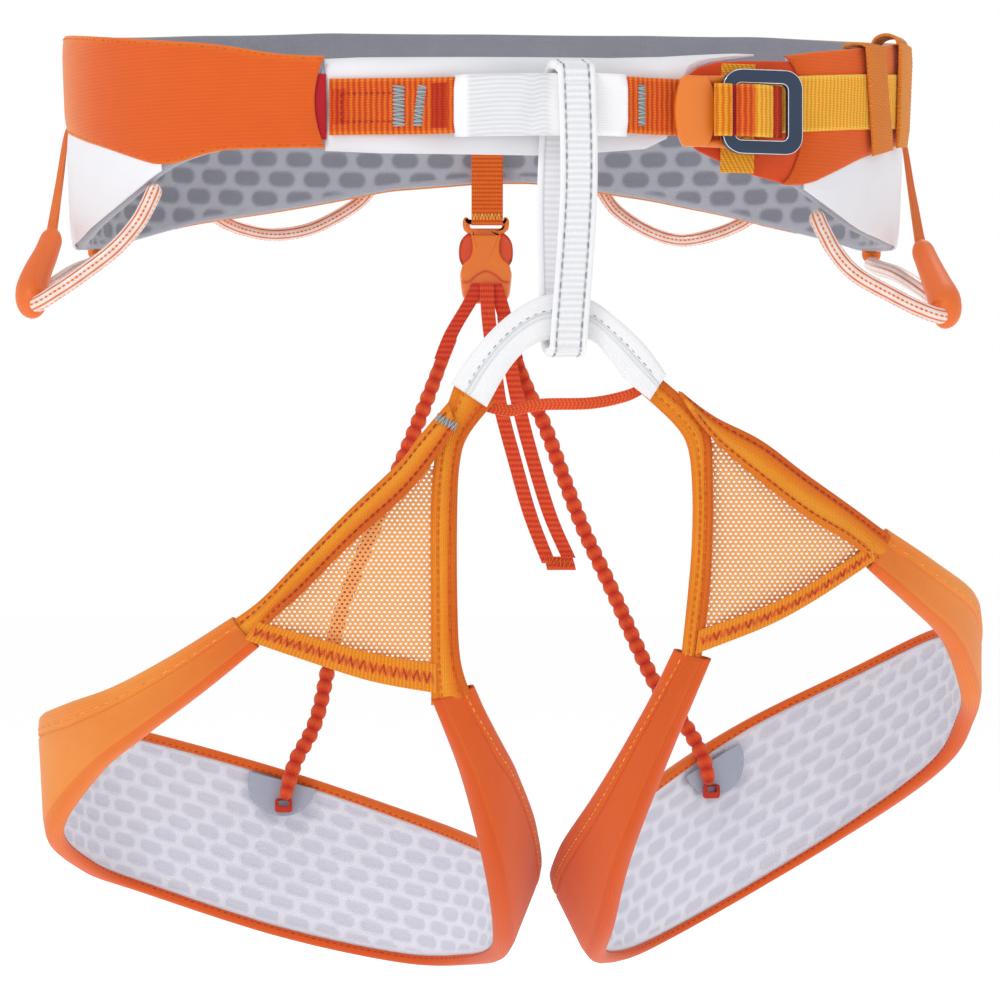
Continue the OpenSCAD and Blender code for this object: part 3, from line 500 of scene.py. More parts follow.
class Seam:
    """Collects stitches laid along lines, then makes one mesh of them."""

    def __init__(self):
        self.centres, self.ways, self.outs, self.lens = [], [], [], []

    def line(self, track, length=1.9, gap=0.8):
        """A row of stitches along a line, which comes with its outward directions."""
        line, way = track
        d = lengths(line)
        at = np.arange(length / 2 + 0.3, d[-1] - length / 2, length + gap)
        c = np.stack([np.interp(at, d, line[:, k]) for k in range(3)], 1)
        ahead = np.stack([np.interp(at + 0.3, d, line[:, k]) for k in range(3)], 1)
        self.centres += list(c)
        self.ways += list(ahead - c)
        self.outs += list(unit(np.stack([np.interp(at, d, way[:, k]) for k in range(3)], 1)))
        self.lens += [length] * len(at)
        return self

    def zigzag(self, line_a, line_b, pitch, out):
        """Threads that go back and forth between two lines of the same length."""
        (a, b), _ = spaced([line_a, line_b], pitch / 2)
        left, right = a[::2], b[1::2]
        n = min(len(left), len(right))
        for start, stop in ((left[:n], right[:n]), (right[:n - 1], left[1:n])):
            self.centres += list((start + stop) / 2)
            self.ways += list(stop - start)
            self.outs += [out] * len(start)
            self.lens += list(np.linalg.norm(stop - start, axis=1) * 1.04)
        return self

    def bar(self, centre, along, out, width, height, pitch=0.55, slant=0.18):
        """A bar tack: close threads across a narrow rectangle. along is the long way of the bar."""
        along, out = unit(np.array(along, float)), unit(np.array(out, float))
        cross = np.cross(out, along)
        n = int(height / pitch)
        at = (np.arange(n) - (n - 1) / 2) * pitch
        wave_in = 1 + 0.06 * np.sin(np.arange(n) * 1.9)
        for k in range(n):
            self.centres.append(np.array(centre, float) + along * at[k] + out * 0.05)
            self.ways.append(cross + along * slant * (1 if k % 2 else -0.4))
            self.outs.append(out)
            self.lens.append(width * wave_in[k])
        return self

    def sew(self, name, radius, material, body="waist_belt", *nodes):
        """The stitches as a piece that rides on a body."""
        made = stitch_mesh(name, self.centres, self.ways, self.outs, self.lens, radius, material)
        put(made, body, "bartack_thread", *nodes)


def ripple(x, y, seed, size=1.0):
    """A soft, fixed unevenness between about -1 and 1, for lengths in millimetres."""
    a = np.sin(x / (9.1 * size) + seed) * np.cos(y / (7.3 * size) + 1.7 * seed)
    b = np.sin(x / (4.3 * size) - 2.1 * seed + y / (11.0 * size))
    c = np.cos(x / (17.0 * size) + y / (13.0 * size) + 0.6 * seed)
    return (a + 0.5 * b + 0.8 * c) / 2.0


def ribs(u, pitch, sharp=1.0):
    """Ribs of webbing: 1 on each crest, 0 in each groove."""
    return (0.5 + 0.5 * np.cos(2 * np.pi * u / pitch)) ** sharp


# ---------------------------------------------------------------- the waist belt
WAIST_W, WAIST_D, WAIST_POWER, FLARE = 286, 194, 2.6, 0.04
LINING_OUT, PAD_OUT, SHELL_IN, SHELL_OUT = 0.0, 4.9, 5.1, 6.0
TOP_Z = [(-180, 49), (-147, 49), (-125, 46), (-106, 41), (-90, 36), (-76, 33), (-57, 27), (-46, 24),
         (-37, 20), (-30, 19), (35, 19), (50, 20), (54, 22), (63, 25), (70, 28), (90, 34), (106, 39),
         (118, 43), (128, 46), (147, 48), (180, 49)]
BOTTOM_Z = [(-180, -8), (-159, -11), (-147, -16), (-135, -21), (-125, -25), (-116, -31), (-106, -37),
            (-90, -40), (-75, -39), (-66, -32), (-60, -25), (-54, -16), (-46, -11), (-30, -11), (0, -14),
            (30, -13), (48, -17), (54, -23), (58, -29), (65, -37), (74, -40), (90, -40), (106, -38),
            (118, -31), (128, -25), (134, -21), (146, -15), (155, -12), (169, -8), (180, -8)]
SHELL_Z = [(-125, 2), (-90, 4), (-75, -2), (-65, -8), (-56, -15), (-54, -16), (-46, -11), (-30, -11),
           (50, -22), (54, -23), (65, -11), (80, -3), (90, 2), (125, 2)]


def height(rows, a):
    """A table of (angle, height) read at an angle, with its corners softened over 2 degrees each way."""
    x, y = np.array(rows, float).T
    a = np.asarray(a, float)
    return sum(np.interp((a + d + 180) % 360 - 180, x, y) for d in (-2, 0, 2)) / 3


def waist(a, out=0.0):
    """Points of the waist's plan at angles in degrees, and its outward directions."""
    s, c = np.sin(np.radians(a)), np.cos(np.radians(a))
    w, d, p = WAIST_W / 2, WAIST_D / 2, WAIST_POWER
    r = (np.abs(s / w) ** p + np.abs(c / d) ** p) ** (-1 / p)
    x, y = r * s, -r * c
    n = [np.sign(q) * np.abs(q / half) ** (p - 1) / half for q, half in ((x, w), (y, d))]
    n = unit(np.stack(n, -1))
    return np.stack([x, y], -1) + np.asarray(out)[..., None] * n, n


FULL_TURN = np.linspace(-360, 360, 2881)
GIRTH = lengths(waist(FULL_TURN)[0])
GIRTH -= np.interp(0, FULL_TURN, GIRTH)


def belt_band(start, stop, top, bottom, step=1.0, across=1.0, soft=0.8):
    """A band on the belt. start and stop are angles, or functions of the share of the height;
    top and bottom are functions of the angle."""
    middle = 0.5 * (start(0.5) + stop(0.5))
    tall = float(top(middle) - bottom(middle))
    s = edge_steps(max(tall, 4.0), across, soft)
    span = abs(np.interp(stop(0.5), FULL_TURN, GIRTH) - np.interp(start(0.5), FULL_TURN, GIRTH))
    t = edge_steps(span, step, soft)
    share, way = np.meshgrid(s, t)
    a = start(share) + (stop(share) - start(share)) * way
    z = bottom(a) + (top(a) - bottom(a)) * share
    flat, n = waist(a, FLARE * z)
    p = np.concatenate([flat, z[..., None]], -1)
    n = unit(np.concatenate([n, np.full(n.shape[:-1] + (1,), -FLARE)], -1))
    u = np.interp(a, FULL_TURN, GIRTH)
    band = Band(p, n, u, z)
    band.angle = a
    return band


def at(value):
    """The same value everywhere, as a function."""
    return lambda x: value + 0 * np.asarray(x, float)


def table(rows, add=0.0):
    """The heights of a table of the whole belt, as a function of the angle."""
    return lambda a: height(rows, a) + add


def cells(u, v, pitch, row, half_long, half_wide, blur=0.5):
    """1 inside rows of rounded cells, each row half a pitch on from the one below."""
    line = np.round(v / row)
    along = u / pitch + 0.5 * (line % 2)
    du = np.abs((along - np.round(along)) * pitch)
    dv = np.abs(v - line * row)
    far = np.hypot(np.maximum(du - (half_long - half_wide), 0), dv)
    x = np.clip((half_wide + blur - far) / (2 * blur), 0, 1)
    return x * x * (3 - 2 * x)


# The padded belt: knitted lining with pressed cells inside, foam, and plain cloth under the shells
PLAIN_ABOVE = 33    # above this height the lining is plain and darker
pad = belt_band(at(-30.0), at(-308.0), table(TOP_Z), table(BOTTOM_Z), 0.8, 0.8, 2.0)
cell = cells(pad.u, pad.v, 13.6, 7.6, 5.0, 2.8, 0.9) * np.clip((PLAIN_ABOVE - pad.v) / 1.5, 0, 1)
cell *= np.clip((pad.across() - 1.6) / 1.2, 0, 1)
# Above PLAIN_ABOVE the lining is plain and painted darker: partly its own darker cloth, partly painted shade
# where it leans in.
plain = np.clip((pad.v - PLAIN_ABOVE) / 3, 0, 1)
press = 0.55 * cell - 0.25 * ripple(pad.u, pad.v, 1.3, 2.0) * (1 - 0.5 * cell)
knit = 0.06 * np.sin(pad.u * 2 * np.pi / 1.7) * np.sin(pad.v * 2 * np.pi / 1.7) * cell
tone = 0.93 - 0.58 * cell - 0.46 * plain + 0.06 * ripple(pad.u, pad.v, 2.2, 1.5)
belt_pad = band_solid("belt_pad", pad, "lining", LINING_OUT + 0.2 + press + knit, PAD_OUT, 2.0,
                      tone=0.8, tone_in=tone)
put(belt_pad, "waist_belt", "belt_lining", "belt_inner_lining", "belt_foam_core", "belt_load_strands")


def shell(name, start, stop, top, bottom, node, tone, crown=1.0, material="shell", lift=0.0, step=1.6):
    """Stretch cloth over the belt's foam, fuller in the middle by crown. tone is a function of its band."""
    band = belt_band(start, stop, top, bottom, step, 1.4, 0.7)
    full = np.clip(band.across() / 9, 0, 1)
    full = full * (2 - full) * np.clip(band.ends() / 5, 0, 1)
    wave_out = 0.22 * ripple(band.u, band.v, 0.7, 3.0) * full
    made = band_solid(name, band, material, SHELL_IN + lift, SHELL_OUT + lift + crown * full + wave_out, 0.5,
                      tone(band))
    put(made, "waist_belt", {"shell": "shell_orange", "white": "wing_white"}[material], node)
    return band


def shell_tone(band):
    """Painted highlight: paler towards the sides, where the cloth turns away, and along the edges."""
    side = np.clip((np.abs(band.angle) - 62) / 16, 0, 1)
    edge = np.clip(1 - band.across() / 2.5, 0, 1)
    return 0.44 + 0.34 * side + 0.18 * edge + 0.07 * ripple(band.u, band.v, 1.1, 3.0)


def left_front(s):
    """The left shell's front end is hollow: its corners reach further round than its middle."""
    return -29.2 - 1.7 * (4 * s * (1 - s))


def right_front(s):
    """The right shell's front end is rounded back towards its middle."""
    return 50.4 + 3.6 * np.clip(4 * s * (1 - s), 0, 1) ** 0.6


left_shell = shell("left_shell_cover", left_front, at(-125.0), table(TOP_Z, 0.4), table(SHELL_Z, -0.3),
                   "left_outer_shell", shell_tone)
right_shell = shell("right_shell_cover", right_front, at(125.0), table(TOP_Z, 0.4), table(SHELL_Z, -0.3),
                    "right_outer_shell", shell_tone)
rear_shell = shell("rear_panel_cover", at(-125.3), at(-234.7), table(TOP_Z, 0.4), table(BOTTOM_Z, -0.3),
                   "rear_outer_panel", shell_tone)


def wing_bottom(a):
    """The wings end at the belt's lower edge, and are at least 1 mm tall."""
    return np.minimum(height(BOTTOM_Z, a), height(SHELL_Z, a) - 1)


def wing_tone(band):
    return 0.86 + 0.12 * ripple(band.u, band.v, 2.0, 3.0)


for name, start, node in (("left_wing_cover", -54.8, "left_wing_panel"),
                          ("right_wing_cover", 54.4, "right_wing_panel")):
    shell(name, at(start), at(math.copysign(124.8, start)), table(SHELL_Z, -0.1), wing_bottom, node,
          wing_tone, 0.7, "white", -0.15, 1.4)

# A dark red strip inside the left shell's front end: partly its facing's own colour, partly painted shadow
# under the shell's end
inside = belt_band(at(-29.1), at(-34.0), at(13.5), at(-8.6), 0.9, 0.9, 0.4)
made = put(band_solid("left_shell_facing_and_shadow", inside, "facing", 3.9, 4.9, 0.4, tone=0.7), "waist_belt",
           "flap_red_orange")

# Seams on the shells: along both long edges, and where the rear panel joins
seams = Seam()
for band in (left_shell, right_shell, rear_shell):
    for share in (0.03, 0.97):
        seams.line(band.track(share, SHELL_OUT + 0.25), 1.9, 0.9)
seams.sew("shell_edge_stitches", 0.16, "thread_orange")
TAPE_AT, TAPE_WIDE = 122, 6    # degrees
for sign, name in ((-1, "left_side_seam_tape"), (1, "right_side_seam_tape")):
    strip = belt_band(at(sign * TAPE_AT), at(sign * (TAPE_AT + TAPE_WIDE)), table(TOP_Z, 0.5),
                      table(BOTTOM_Z, -0.4), 0.8, 1.2, 0.5)
    made = band_solid(name, strip, "tape", SHELL_OUT - 0.3, SHELL_OUT + 1.8, 0.7, tone=0.3)
    put(made, "waist_belt", "gear_loop_strap")
    tack = Seam()
    for share in (0.18, 0.82):
        start = TAPE_AT + TAPE_WIDE * share
        line = belt_band(at(sign * start), at(sign * (start + 0.6)), table(TOP_Z, -1), table(BOTTOM_Z, 1),
                         0.4, 1.0, 0.2)
        tack.line((line.p[2] + line.n[2] * (SHELL_OUT + 1.85), line.n[2]), 1.8, 0.9)
    tack.sew(name.replace("tape", "stitches"), 0.17, "thread_orange")

# ---------------------------------------------------------------- the front of the belt
# The red-orange flap comes out from under the right shell and narrows behind the buckle
FLAP_TOP = [(35.2, 8), (36, 12.5), (38, 16), (41, 18), (46, 18.8), (51.7, 19.2), (57, 19.4)]
FLAP_BOTTOM = [(35.2, -3), (36, -8), (38, -12), (42, -16), (47, -20), (51.7, -22.4), (57, -22.5)]


def plain_table(rows):
    """The heights of a table with its corners kept, as a function of the angle."""
    x, y = np.array(rows, float).T
    return lambda a: np.interp(a, x, y)


flap = belt_band(at(35.3), at(56.5), plain_table(FLAP_TOP), plain_table(FLAP_BOTTOM), 0.8, 0.9, 0.6)
fold = 0.35 * np.sin(flap.u * 0.55 + flap.v * 0.12) * np.clip(flap.across() / 4, 0, 1)
fold *= np.clip((51 - flap.angle) / 3, 0, 1)
made = band_solid("front_flap_cover", flap, "flap", 3.75, 5.0 + fold, 0.5,
                  tone=0.62 + 0.3 * ripple(flap.u, flap.v, 0.4, 1.5))
put(made, "waist_belt", "flap_red_orange", "right_front_flap")

# The folded white tongue runs behind the load webbing and ends in a point under the flap
TONGUE_TOP = [(-30, 18.6), (-24, 19), (0, 19), (24, 18.8), (32.5, 19.4), (38, 20.3), (43.8, 21.2), (47, 21.2)]
TONGUE_BOTTOM = [(-30, -12.2), (-20, -13.2), (10, -14), (20, -13.2), (30, -11.6), (33.5, -8), (35.2, 0),
                 (36.5, 13.0), (38.2, 16.4), (40.1, 17.9), (43.8, 19.5), (47, 20.6)]
tongue = belt_band(at(-29.6), at(47.0), plain_table(TONGUE_TOP), plain_table(TONGUE_BOTTOM), 0.9, 0.8, 1.4)
full = np.clip(tongue.across() / 6, 0, 1)
full = full * (2 - full)
crease = 0.45 * ripple(tongue.u, tongue.v * 2, 2.6, 1.6) * full
middle = np.exp(-((tongue.v - 2) / 7.0) ** 2) * 1.2
# The tongue is painted paler where its padding is full and darker towards its edges: painted shade.
made = band_solid("front_tongue_pad", tongue, "white", 0.1, 2.6 + 1.3 * full + crease - middle, 1.5,
                  tone=0.60 + 0.1 * ripple(tongue.u, tongue.v, 1.9, 1.2) + 0.22 * full)
put(made, "waist_belt", "wing_white", "front_tongue")

# Load webbing: one ribbed strap from the left, through the tie-in sleeve and on to the buckle
WEB_TOP, WEB_W, WEB_T = 11.6, 19.0, 1.7
WEB_BOTTOM = WEB_TOP - WEB_W
SLEEVE_Y = -111
WEB_PATH = [(-52, -99.4), (-38, -101.4), (-22, -103), (-10, -106), (6, -109.5), (20, SLEEVE_Y),
            (36, SLEEVE_Y), (48, -107), (56, -102.2), (64, -98.6), (72, -96.6)]
SLEEVE_PATH = [(-10, -106), (6, -109.5), (20, SLEEVE_Y), (36, SLEEVE_Y), (48, -107)]


def webbing(name, band, material, mid=0.0, thick=WEB_T, pitch=1.9, deep=0.22, tone_add=0.0, bead=0.9):
    """Ribbed webbing with beaded ribs across it and a selvedge along each edge."""
    sway = 0.07 * np.sin(band.v * 0.9) + 0.12 * ripple(band.u, band.v, 3.1)
    crest = ribs(band.u + sway, pitch, 0.8)
    beads = 0.5 + 0.5 * np.cos(2 * np.pi * (band.v / bead + 0.5 * np.round(band.u / pitch)))
    selvedge = np.clip(1.6 - band.across(), 0, 1)
    relief = deep * crest * (0.7 + 0.3 * beads) * (1 - 0.5 * selvedge)
    return band_solid(name, band, material, mid - thick / 2 - relief * 0.8, mid + thick / 2 + relief, 0.7,
                      0.12 + 0.62 * crest * (0.62 + 0.38 * beads) + 0.22 * selvedge + tone_add)


high, low = ([(x, y, z) for x, y in WEB_PATH] for z in (WEB_TOP, WEB_BOTTOM))
front_web = ribbon(high, low, 0.3, 0.3, 0.6, -1)
x = front_web.p[..., 0]
# The webbing is darker in a red band between the bar tacks and the sleeve, and painted darker as shadow where
# it comes out from under the left shell's end.
red_band_and_shadow = np.where((x > -17.4) & (x < -12.2) & (np.abs(front_web.v - WEB_W / 2) < 7.6), -0.5, 0.0)
red_band_and_shadow += np.where((x > -51) & (x < -46) & (np.abs(front_web.v - WEB_W / 2) < 6.0), -0.22, 0.0)
made = webbing("tie_in_webbing_band", front_web, "web", tone_add=red_band_and_shadow + 0.05)
put(made, "waist_belt", "webbing_orange", "tie_in_webbing")

# The stitched box and the bar tacks on the load webbing
box = Seam()
BOX_SIDES, BOX_OUT = (0.27, 0.77), WEB_T / 2 + 0.3    # shares of the webbing's width, and mm from its middle
for share in BOX_SIDES:
    box.line(front_web.track(share, BOX_OUT, 0.03, 0.19), 1.5, 0.5)
inside_box = slice(*(int(share * front_web.p.shape[1]) for share in BOX_SIDES))
for share in (0.035, 0.185):
    k = int(share * (len(front_web.p) - 1))
    out = front_web.n[k, inside_box]
    box.line((front_web.p[k, inside_box] + out * BOX_OUT, out), 1.5, 0.5)
box.sew("webbing_box_stitches", 0.17, "facing")
tacks = Seam()
for x, wide, lean in ((-28.6, 4.2, 0.0), (-21.2, 3.4, 0.12), (52.5, 3.0, 0.0)):
    k = int(np.argmin(np.abs(front_web.p[:, 0, 0] - x)))
    mid = (front_web.p[k, 0] + front_web.p[k, -1]) / 2
    out = front_web.n[k, 0]
    tacks.bar(mid + out * (WEB_T / 2 + 0.25), (lean, 0, 1), out, wide, 14.2, 0.62, 0.14)
tacks.sew("webbing_bar_tacks", 0.33, "thread", "waist_belt", "webbing_bartacks")

# White tie-in sleeve: ribbed along its length, with a hemmed end on each side
SLEEVE_OUT = 1.8
(line,), _ = spaced([smooth([(x, y, 0) for x, y in SLEEVE_PATH])], 0.4)
sleeve = ribbon(line + [0, 0, WEB_TOP + 0.7], line + [0, 0, WEB_BOTTOM - 1.1], 0.4, 0.3, 1.2, -1, steps=1)
x = sleeve.p[..., 0]
end = np.minimum(x + 10, 48 - x)
corner = 1.6 * np.clip(1 - end / 5, 0, 1) ** 2 * np.clip(1 - sleeve.across() / 5, 0, 1)
ribbed = np.clip((x + 6) / 2, 0, 1) * np.clip((24 - x) / 3, 0, 1)
gather = np.clip((x - 10) / 8, 0, 1) * np.clip((27 - x) / 3, 0, 1)
line_v = sleeve.v + 0.5 * gather * np.sin(x * 0.7) + 0.3 * np.sin(x * 0.23)
crest = ribs(line_v, 1.5) * ribbed
plump = np.sqrt(np.clip(1 - ((sleeve.v / sleeve.width) * 2 - 1) ** 4, 0, 1))
hem = -0.25 * np.clip(1 - np.abs(x + 6.5) / 0.5, 0, 1)
rise = 0.35 * plump + 0.24 * crest + 0.25 * gather * ripple(x, sleeve.v, 0.9, 0.5) + hem
# The ribs are painted paler on their crests and darker in their grooves, and the drawn-in corners darker:
# painted shade.
tone = (0.72 + 0.28 * crest - 0.2 * ribbed + 0.3 * (1 - ribbed) - 0.3 * corner
        + 0.1 * gather * ripple(x, sleeve.v, 1.9, 0.5))
made = band_solid("upper_sleeve_cover", sleeve, "sleeve", -SLEEVE_OUT - 0.3 * plump,
                  SLEEVE_OUT + rise - corner, 1.6, tone)
put(made, "waist_belt", "sleeve_white", "upper_tie_in_sleeve")

# ---------------------------------------------------------------- the waist buckle
def placed(x, y, turn, z=0.5):
    """A place on the belt: local x runs along the strap, y into the belt and z up."""
    c, s = math.cos(math.radians(turn)), math.sin(math.radians(turn))
    return lambda q: np.stack([x + q[..., 0] * c - q[..., 1] * s, y + q[..., 0] * s + q[..., 1] * c,
                               z + q[..., 2]], -1)


def inset(loop, far):
    """A closed plane outline drawn in by a distance; it runs anticlockwise."""
    way = unit(np.roll(loop, -1, 0) - np.roll(loop, 1, 0))
    return loop + far * np.stack([-way[:, 1], way[:, 0]], 1)


def rounded(w, h, r, n=8):
    """An outline of a rounded rectangle, anticlockwise, with n points a corner."""
    made = []
    for k, (cx, cz) in enumerate([(1, 1), (-1, 1), (-1, -1), (1, -1)]):
        turn = np.radians(90 * k + 90 * np.arange(n) / (n - 1))
        made += [(cx * (w / 2 - r) + r * math.cos(t), cz * (h / 2 - r) + r * math.sin(t)) for t in turn]
    return even_loop(np.array(made), 96)


def even_loop(loop, count):
    """The same outline with evenly spaced points, starting where it starts."""
    whole = np.vstack([loop, loop[:1]])
    d = lengths(whole)
    t = np.linspace(0, d[-1], count + 1)[:-1]
    return np.stack([np.interp(t, d, whole[:, c]) for c in (0, 1)], 1)


def slab(name, outline, thick, soft, material, place, hole=None, hole_soft=0.5, crown=0.0, tone=0.25):
    """A plate in the x-z plane from y = -thick to 0 with rounded edges, and a hole if one is given."""
    turns = np.radians(np.linspace(0, 90, 5))

    def rim(loop, r, sign):
        """Rings from the middle of the front face round the edge to the back face."""
        steps = [(r + 0.35, -thick)] + [(r - r * math.sin(t), -thick + r - r * math.cos(t)) for t in turns]
        steps += [(r - r * math.sin(t), -r + r * math.cos(t)) for t in turns[::-1]] + [(r + 0.35, 0.0)]
        return [np.stack([q[:, 0], np.full(len(q), y), q[:, 1]], 1)
                for q, y in ((inset(loop, sign * d), y) for d, y in steps)]

    rings = rim(outline, soft, 1)
    count = len(outline)
    if hole is not None:
        rings += rim(hole, hole_soft, -1)[::-1]
        verts = np.vstack(rings)
        faces = [quads_of(closed(closed(np.arange(len(verts)).reshape(len(rings), count), 0)))]
    else:
        middle = outline.mean(0)
        front, back = [], []
        for share in (0.35, 0.7):
            for group, ring, y in ((front, rings[0], -thick), (back, rings[-1], 0.0)):
                centre = np.array([middle[0], y, middle[1]])
                group.append(centre + (ring - centre) * share)
        rings = front + rings + back[::-1]
        verts = np.vstack(rings + [[[middle[0], -thick, middle[1]]], [[middle[0], 0, middle[1]]]])
        n = len(rings) * count
        loop = closed(np.arange(n).reshape(len(rings), count))
        faces = [quads_of(loop),
                 np.stack([loop[0, 1:], loop[0, :-1], np.full(count, n)], -1),
                 np.stack([loop[-1, :-1], loop[-1, 1:], np.full(count, n + 1)], -1)]
    reach = np.abs(verts[:, [0, 2]] - outline.mean(0)).max(0)
    bulge = (1 - ((verts[:, [0, 2]] - outline.mean(0)) / reach) ** 2).prod(1)
    verts[:, 1] += crown * bulge * np.minimum(verts[:, 1] / thick, 0)
    return make_mesh(name, place(verts), faces, material, tone, verts)


buckle_place = placed(70.5, -100.4, 13)
z = np.linspace(-1, 1, 33)
side = 7.1 - 2.5 * z ** 2 - 0.6 * np.abs(z) ** 10
barrel = np.concatenate([np.stack([side, 11.9 * z], 1), np.stack([-side[::-1], 11.9 * z[::-1]], 1)])
plate = slab("buckle_plate", even_loop(barrel, 120), 2.7, 0.7, "plate", buckle_place, crown=0.35)
put(plate, "waist_belt", "buckle_plate_orange", "waist_buckle_plate")
for name, level in (("buckle_arm_upper", 11.0), ("buckle_arm_lower", -11.0)):
    sign = math.copysign(1, level)
    arm_line = [(1, -1.0, level - sign * 0.4), (7, -0.9, level - sign * 0.2),
                (12.5, -0.4, level - sign * 0.1), (16.5, 0.3, level - sign * 0.4)]
    arm_line = [tuple(buckle_place(np.array(q, float))) for q in arm_line]
    made = tube(name, arm_line, 1.05, "plastic", 16, 0.5, (0, 1, 0), 1.25, 0.3)
    put(made, "waist_belt", "buckle_plate_orange")
hook_line = [(12.5, -1.7, -11.5), (14.5, -2.6, -11.2), (16.6, -2.9, -9.9), (18.4, -2.2, -9.4)]
hook_line = [tuple(buckle_place(np.array(q, float))) for q in hook_line]
put(tube("buckle_arm_hook", hook_line, 1.15, "web_yellow", 14, 0.3, (0, 1, 0), 1.3, 0.75), "waist_belt",
    "buckle_plate_orange")

# The outer frame: a bent bar round a window, dark and anodised, with bright metal lines along its edges
FRAME_W, FRAME_H, FRAME_T = 27, 28.5, 2.8
frame_place = placed(94, -96.4, 20)
window = rounded(19.4, 19.2, 2.2) - [1.6, 0]
outer = rounded(FRAME_W, FRAME_H, 6.2)
outer[:, 0] -= 2.2 * np.clip(-outer[:, 0] / 13.5, 0, 1)
# The window's points start near the outer corner that the frame's outline starts at
shift = int(np.argmin(np.linalg.norm(window - window.mean(0) - outer[0] * 0.66, axis=1)))
window = np.roll(window, -shift, 0)
navy = slab("buckle_frame", outer, FRAME_T, 0.55, "navy", frame_place, window, 0.5)
put(navy, "waist_buckle_frame", "buckle_frame_navy", "waist_buckle_frame")


def bright_edge(name, loop, radius):
    """A bright metal line along an edge of the frame's front face."""
    sides = 8
    way = unit(np.roll(loop, -1, 0) - np.roll(loop, 1, 0))
    out = np.stack([way[:, 1], -way[:, 0]], 1)
    turn = 2 * np.pi * np.arange(sides) / sides
    p = np.zeros((len(loop), sides, 3))
    p[..., [0, 2]] = loop[:, None] + out[:, None] * np.cos(turn)[:, None] * radius
    p[..., 1] = -FRAME_T + 0.2 - np.sin(turn) * radius
    faces = [quads_of(closed(closed(np.arange(len(loop) * sides).reshape(len(loop), sides), 0)), True)]
    p = p.reshape(-1, 3)
    put(make_mesh(name, frame_place(p), faces, "edge_metal", 0.5, p), "waist_buckle_frame", "buckle_frame_navy")


bright_edge("frame_outer_bright_edge", inset(outer, 0.18), 0.15)
bright_edge("frame_window_bright_edge", inset(window, -0.12), 0.19)

# The strap doubles back through the plate and frame: five upright folds of webbing inside the window
def webbing_fold(name, x0, x1, y0, y1, material, tone_add, half=8.8, bend=0.6):
    """An upright fold between two places along the strap, with its two sides bent back."""
    path = [(x0, y0 + bend), (x0 + 0.7, y0), ((x0 + x1) / 2, (y0 + y1) / 2 - 0.3), (x1 - 0.7, y1),
            (x1, y1 + bend)]
    high, low = ([tuple(frame_place(np.array((x, y, z + 0.25)))) for x, y in path] for z in (half, -half))
    band = ribbon(high, low, 0.25, 0.3, 0.5, -1, steps=6)
    put(webbing(name, band, material, 0.0, 1.2, 1.9, 0.2, tone_add), "waist_belt", "webbing_orange")


webbing_fold("buckle_fold_inner", -18.6, -12.9, -2.6, -3.4, "web_yellow", -0.22)
webbing_fold("buckle_fold_dark", -13.2, -10.6, -2.2, -2.2, "facing", -0.2, 8.7, 0.1)
webbing_fold("buckle_fold_middle", -10.9, -4.6, -3.5, -3.9, "web", 0.02)
webbing_fold("buckle_fold_outer", -4.9, 2.9, -3.9, -1.6, "web_yellow", 0.05)
webbing_fold("buckle_fold_edge", 2.6, 7.2, -1.2, 0.4, "web", -0.45, 8.7, 0.2)

# Adjusting strap on the right side, from the frame back to the keepers
strap = belt_band(at(46.0), at(78.0), lambda a: 11.6 + (a - 41) * 0.226, lambda a: -7.4 + (a - 41) * 0.226,
                  0.3, 0.3, 0.6)
wavy = 0.25 * ripple(strap.u, strap.v, 1.4, 2.0)
made = webbing("adjust_strap_band", strap, "web_yellow", 7.35, 1.5 + wavy, 1.5, 0.18, 0.1, 0.8)
put(made, "waist_belt", "webbing_orange", "adjust_strap")

# Guide loop behind the buckle, with diagonal ribs
guide = belt_band(at(41.5), at(46.6), at(17.5), at(-19.2), 0.3, 0.3, 0.5)
slant = ribs(guide.u + guide.v * 0.55, 1.6, 0.8)
made = band_solid("guide_loop_band", guide, "web_yellow", 4.85, 5.75 + 0.22 * slant, 0.5, 0.12 + 0.5 * slant)
put(made, "waist_belt", "keeper_elastic", "strap_guide_loop")


def keeper(name, node, start, stop, low, high, crown, tone_add):
    """The outer face of an elastic keeper over the strap's tail, a little fuller in the middle by crown."""
    band = belt_band(start, stop, high, low, 0.4, 0.4, 0.5)
    twill = ribs(band.u * 0.8 + band.v, 1.5) * ribs(band.u * 0.8 - band.v, 1.5)
    lift = crown * np.clip(band.across() / 6, 0, 1)
    made = band_solid(name, band, "elastic", 8.65, 9.75 + lift + 0.16 * twill, 0.5,
                      0.35 + 0.4 * twill + tone_add)
    put(made, "waist_belt", "keeper_elastic", node)


keeper("keeper_front_band", "strap_keeper_front",
       lambda s: 63.2 + 2.2 * (1 - s), lambda s: 67.4 + 3.0 * (1 - s) ** 1.5,
       lambda a: -12.5 + (a - 63) * 0.6, lambda a: 26.4 + 0.15 * (a - 63), 0.4, 0.0)
keeper("keeper_rear_band", "strap_keeper_rear",
       lambda s: 71.6 + 0.4 * (1 - s), lambda s: 76.4 + 0.2 * s,
       lambda a: -7.0 + (a - 72) * 0.3, at(29.6), 0.6, 0.22)
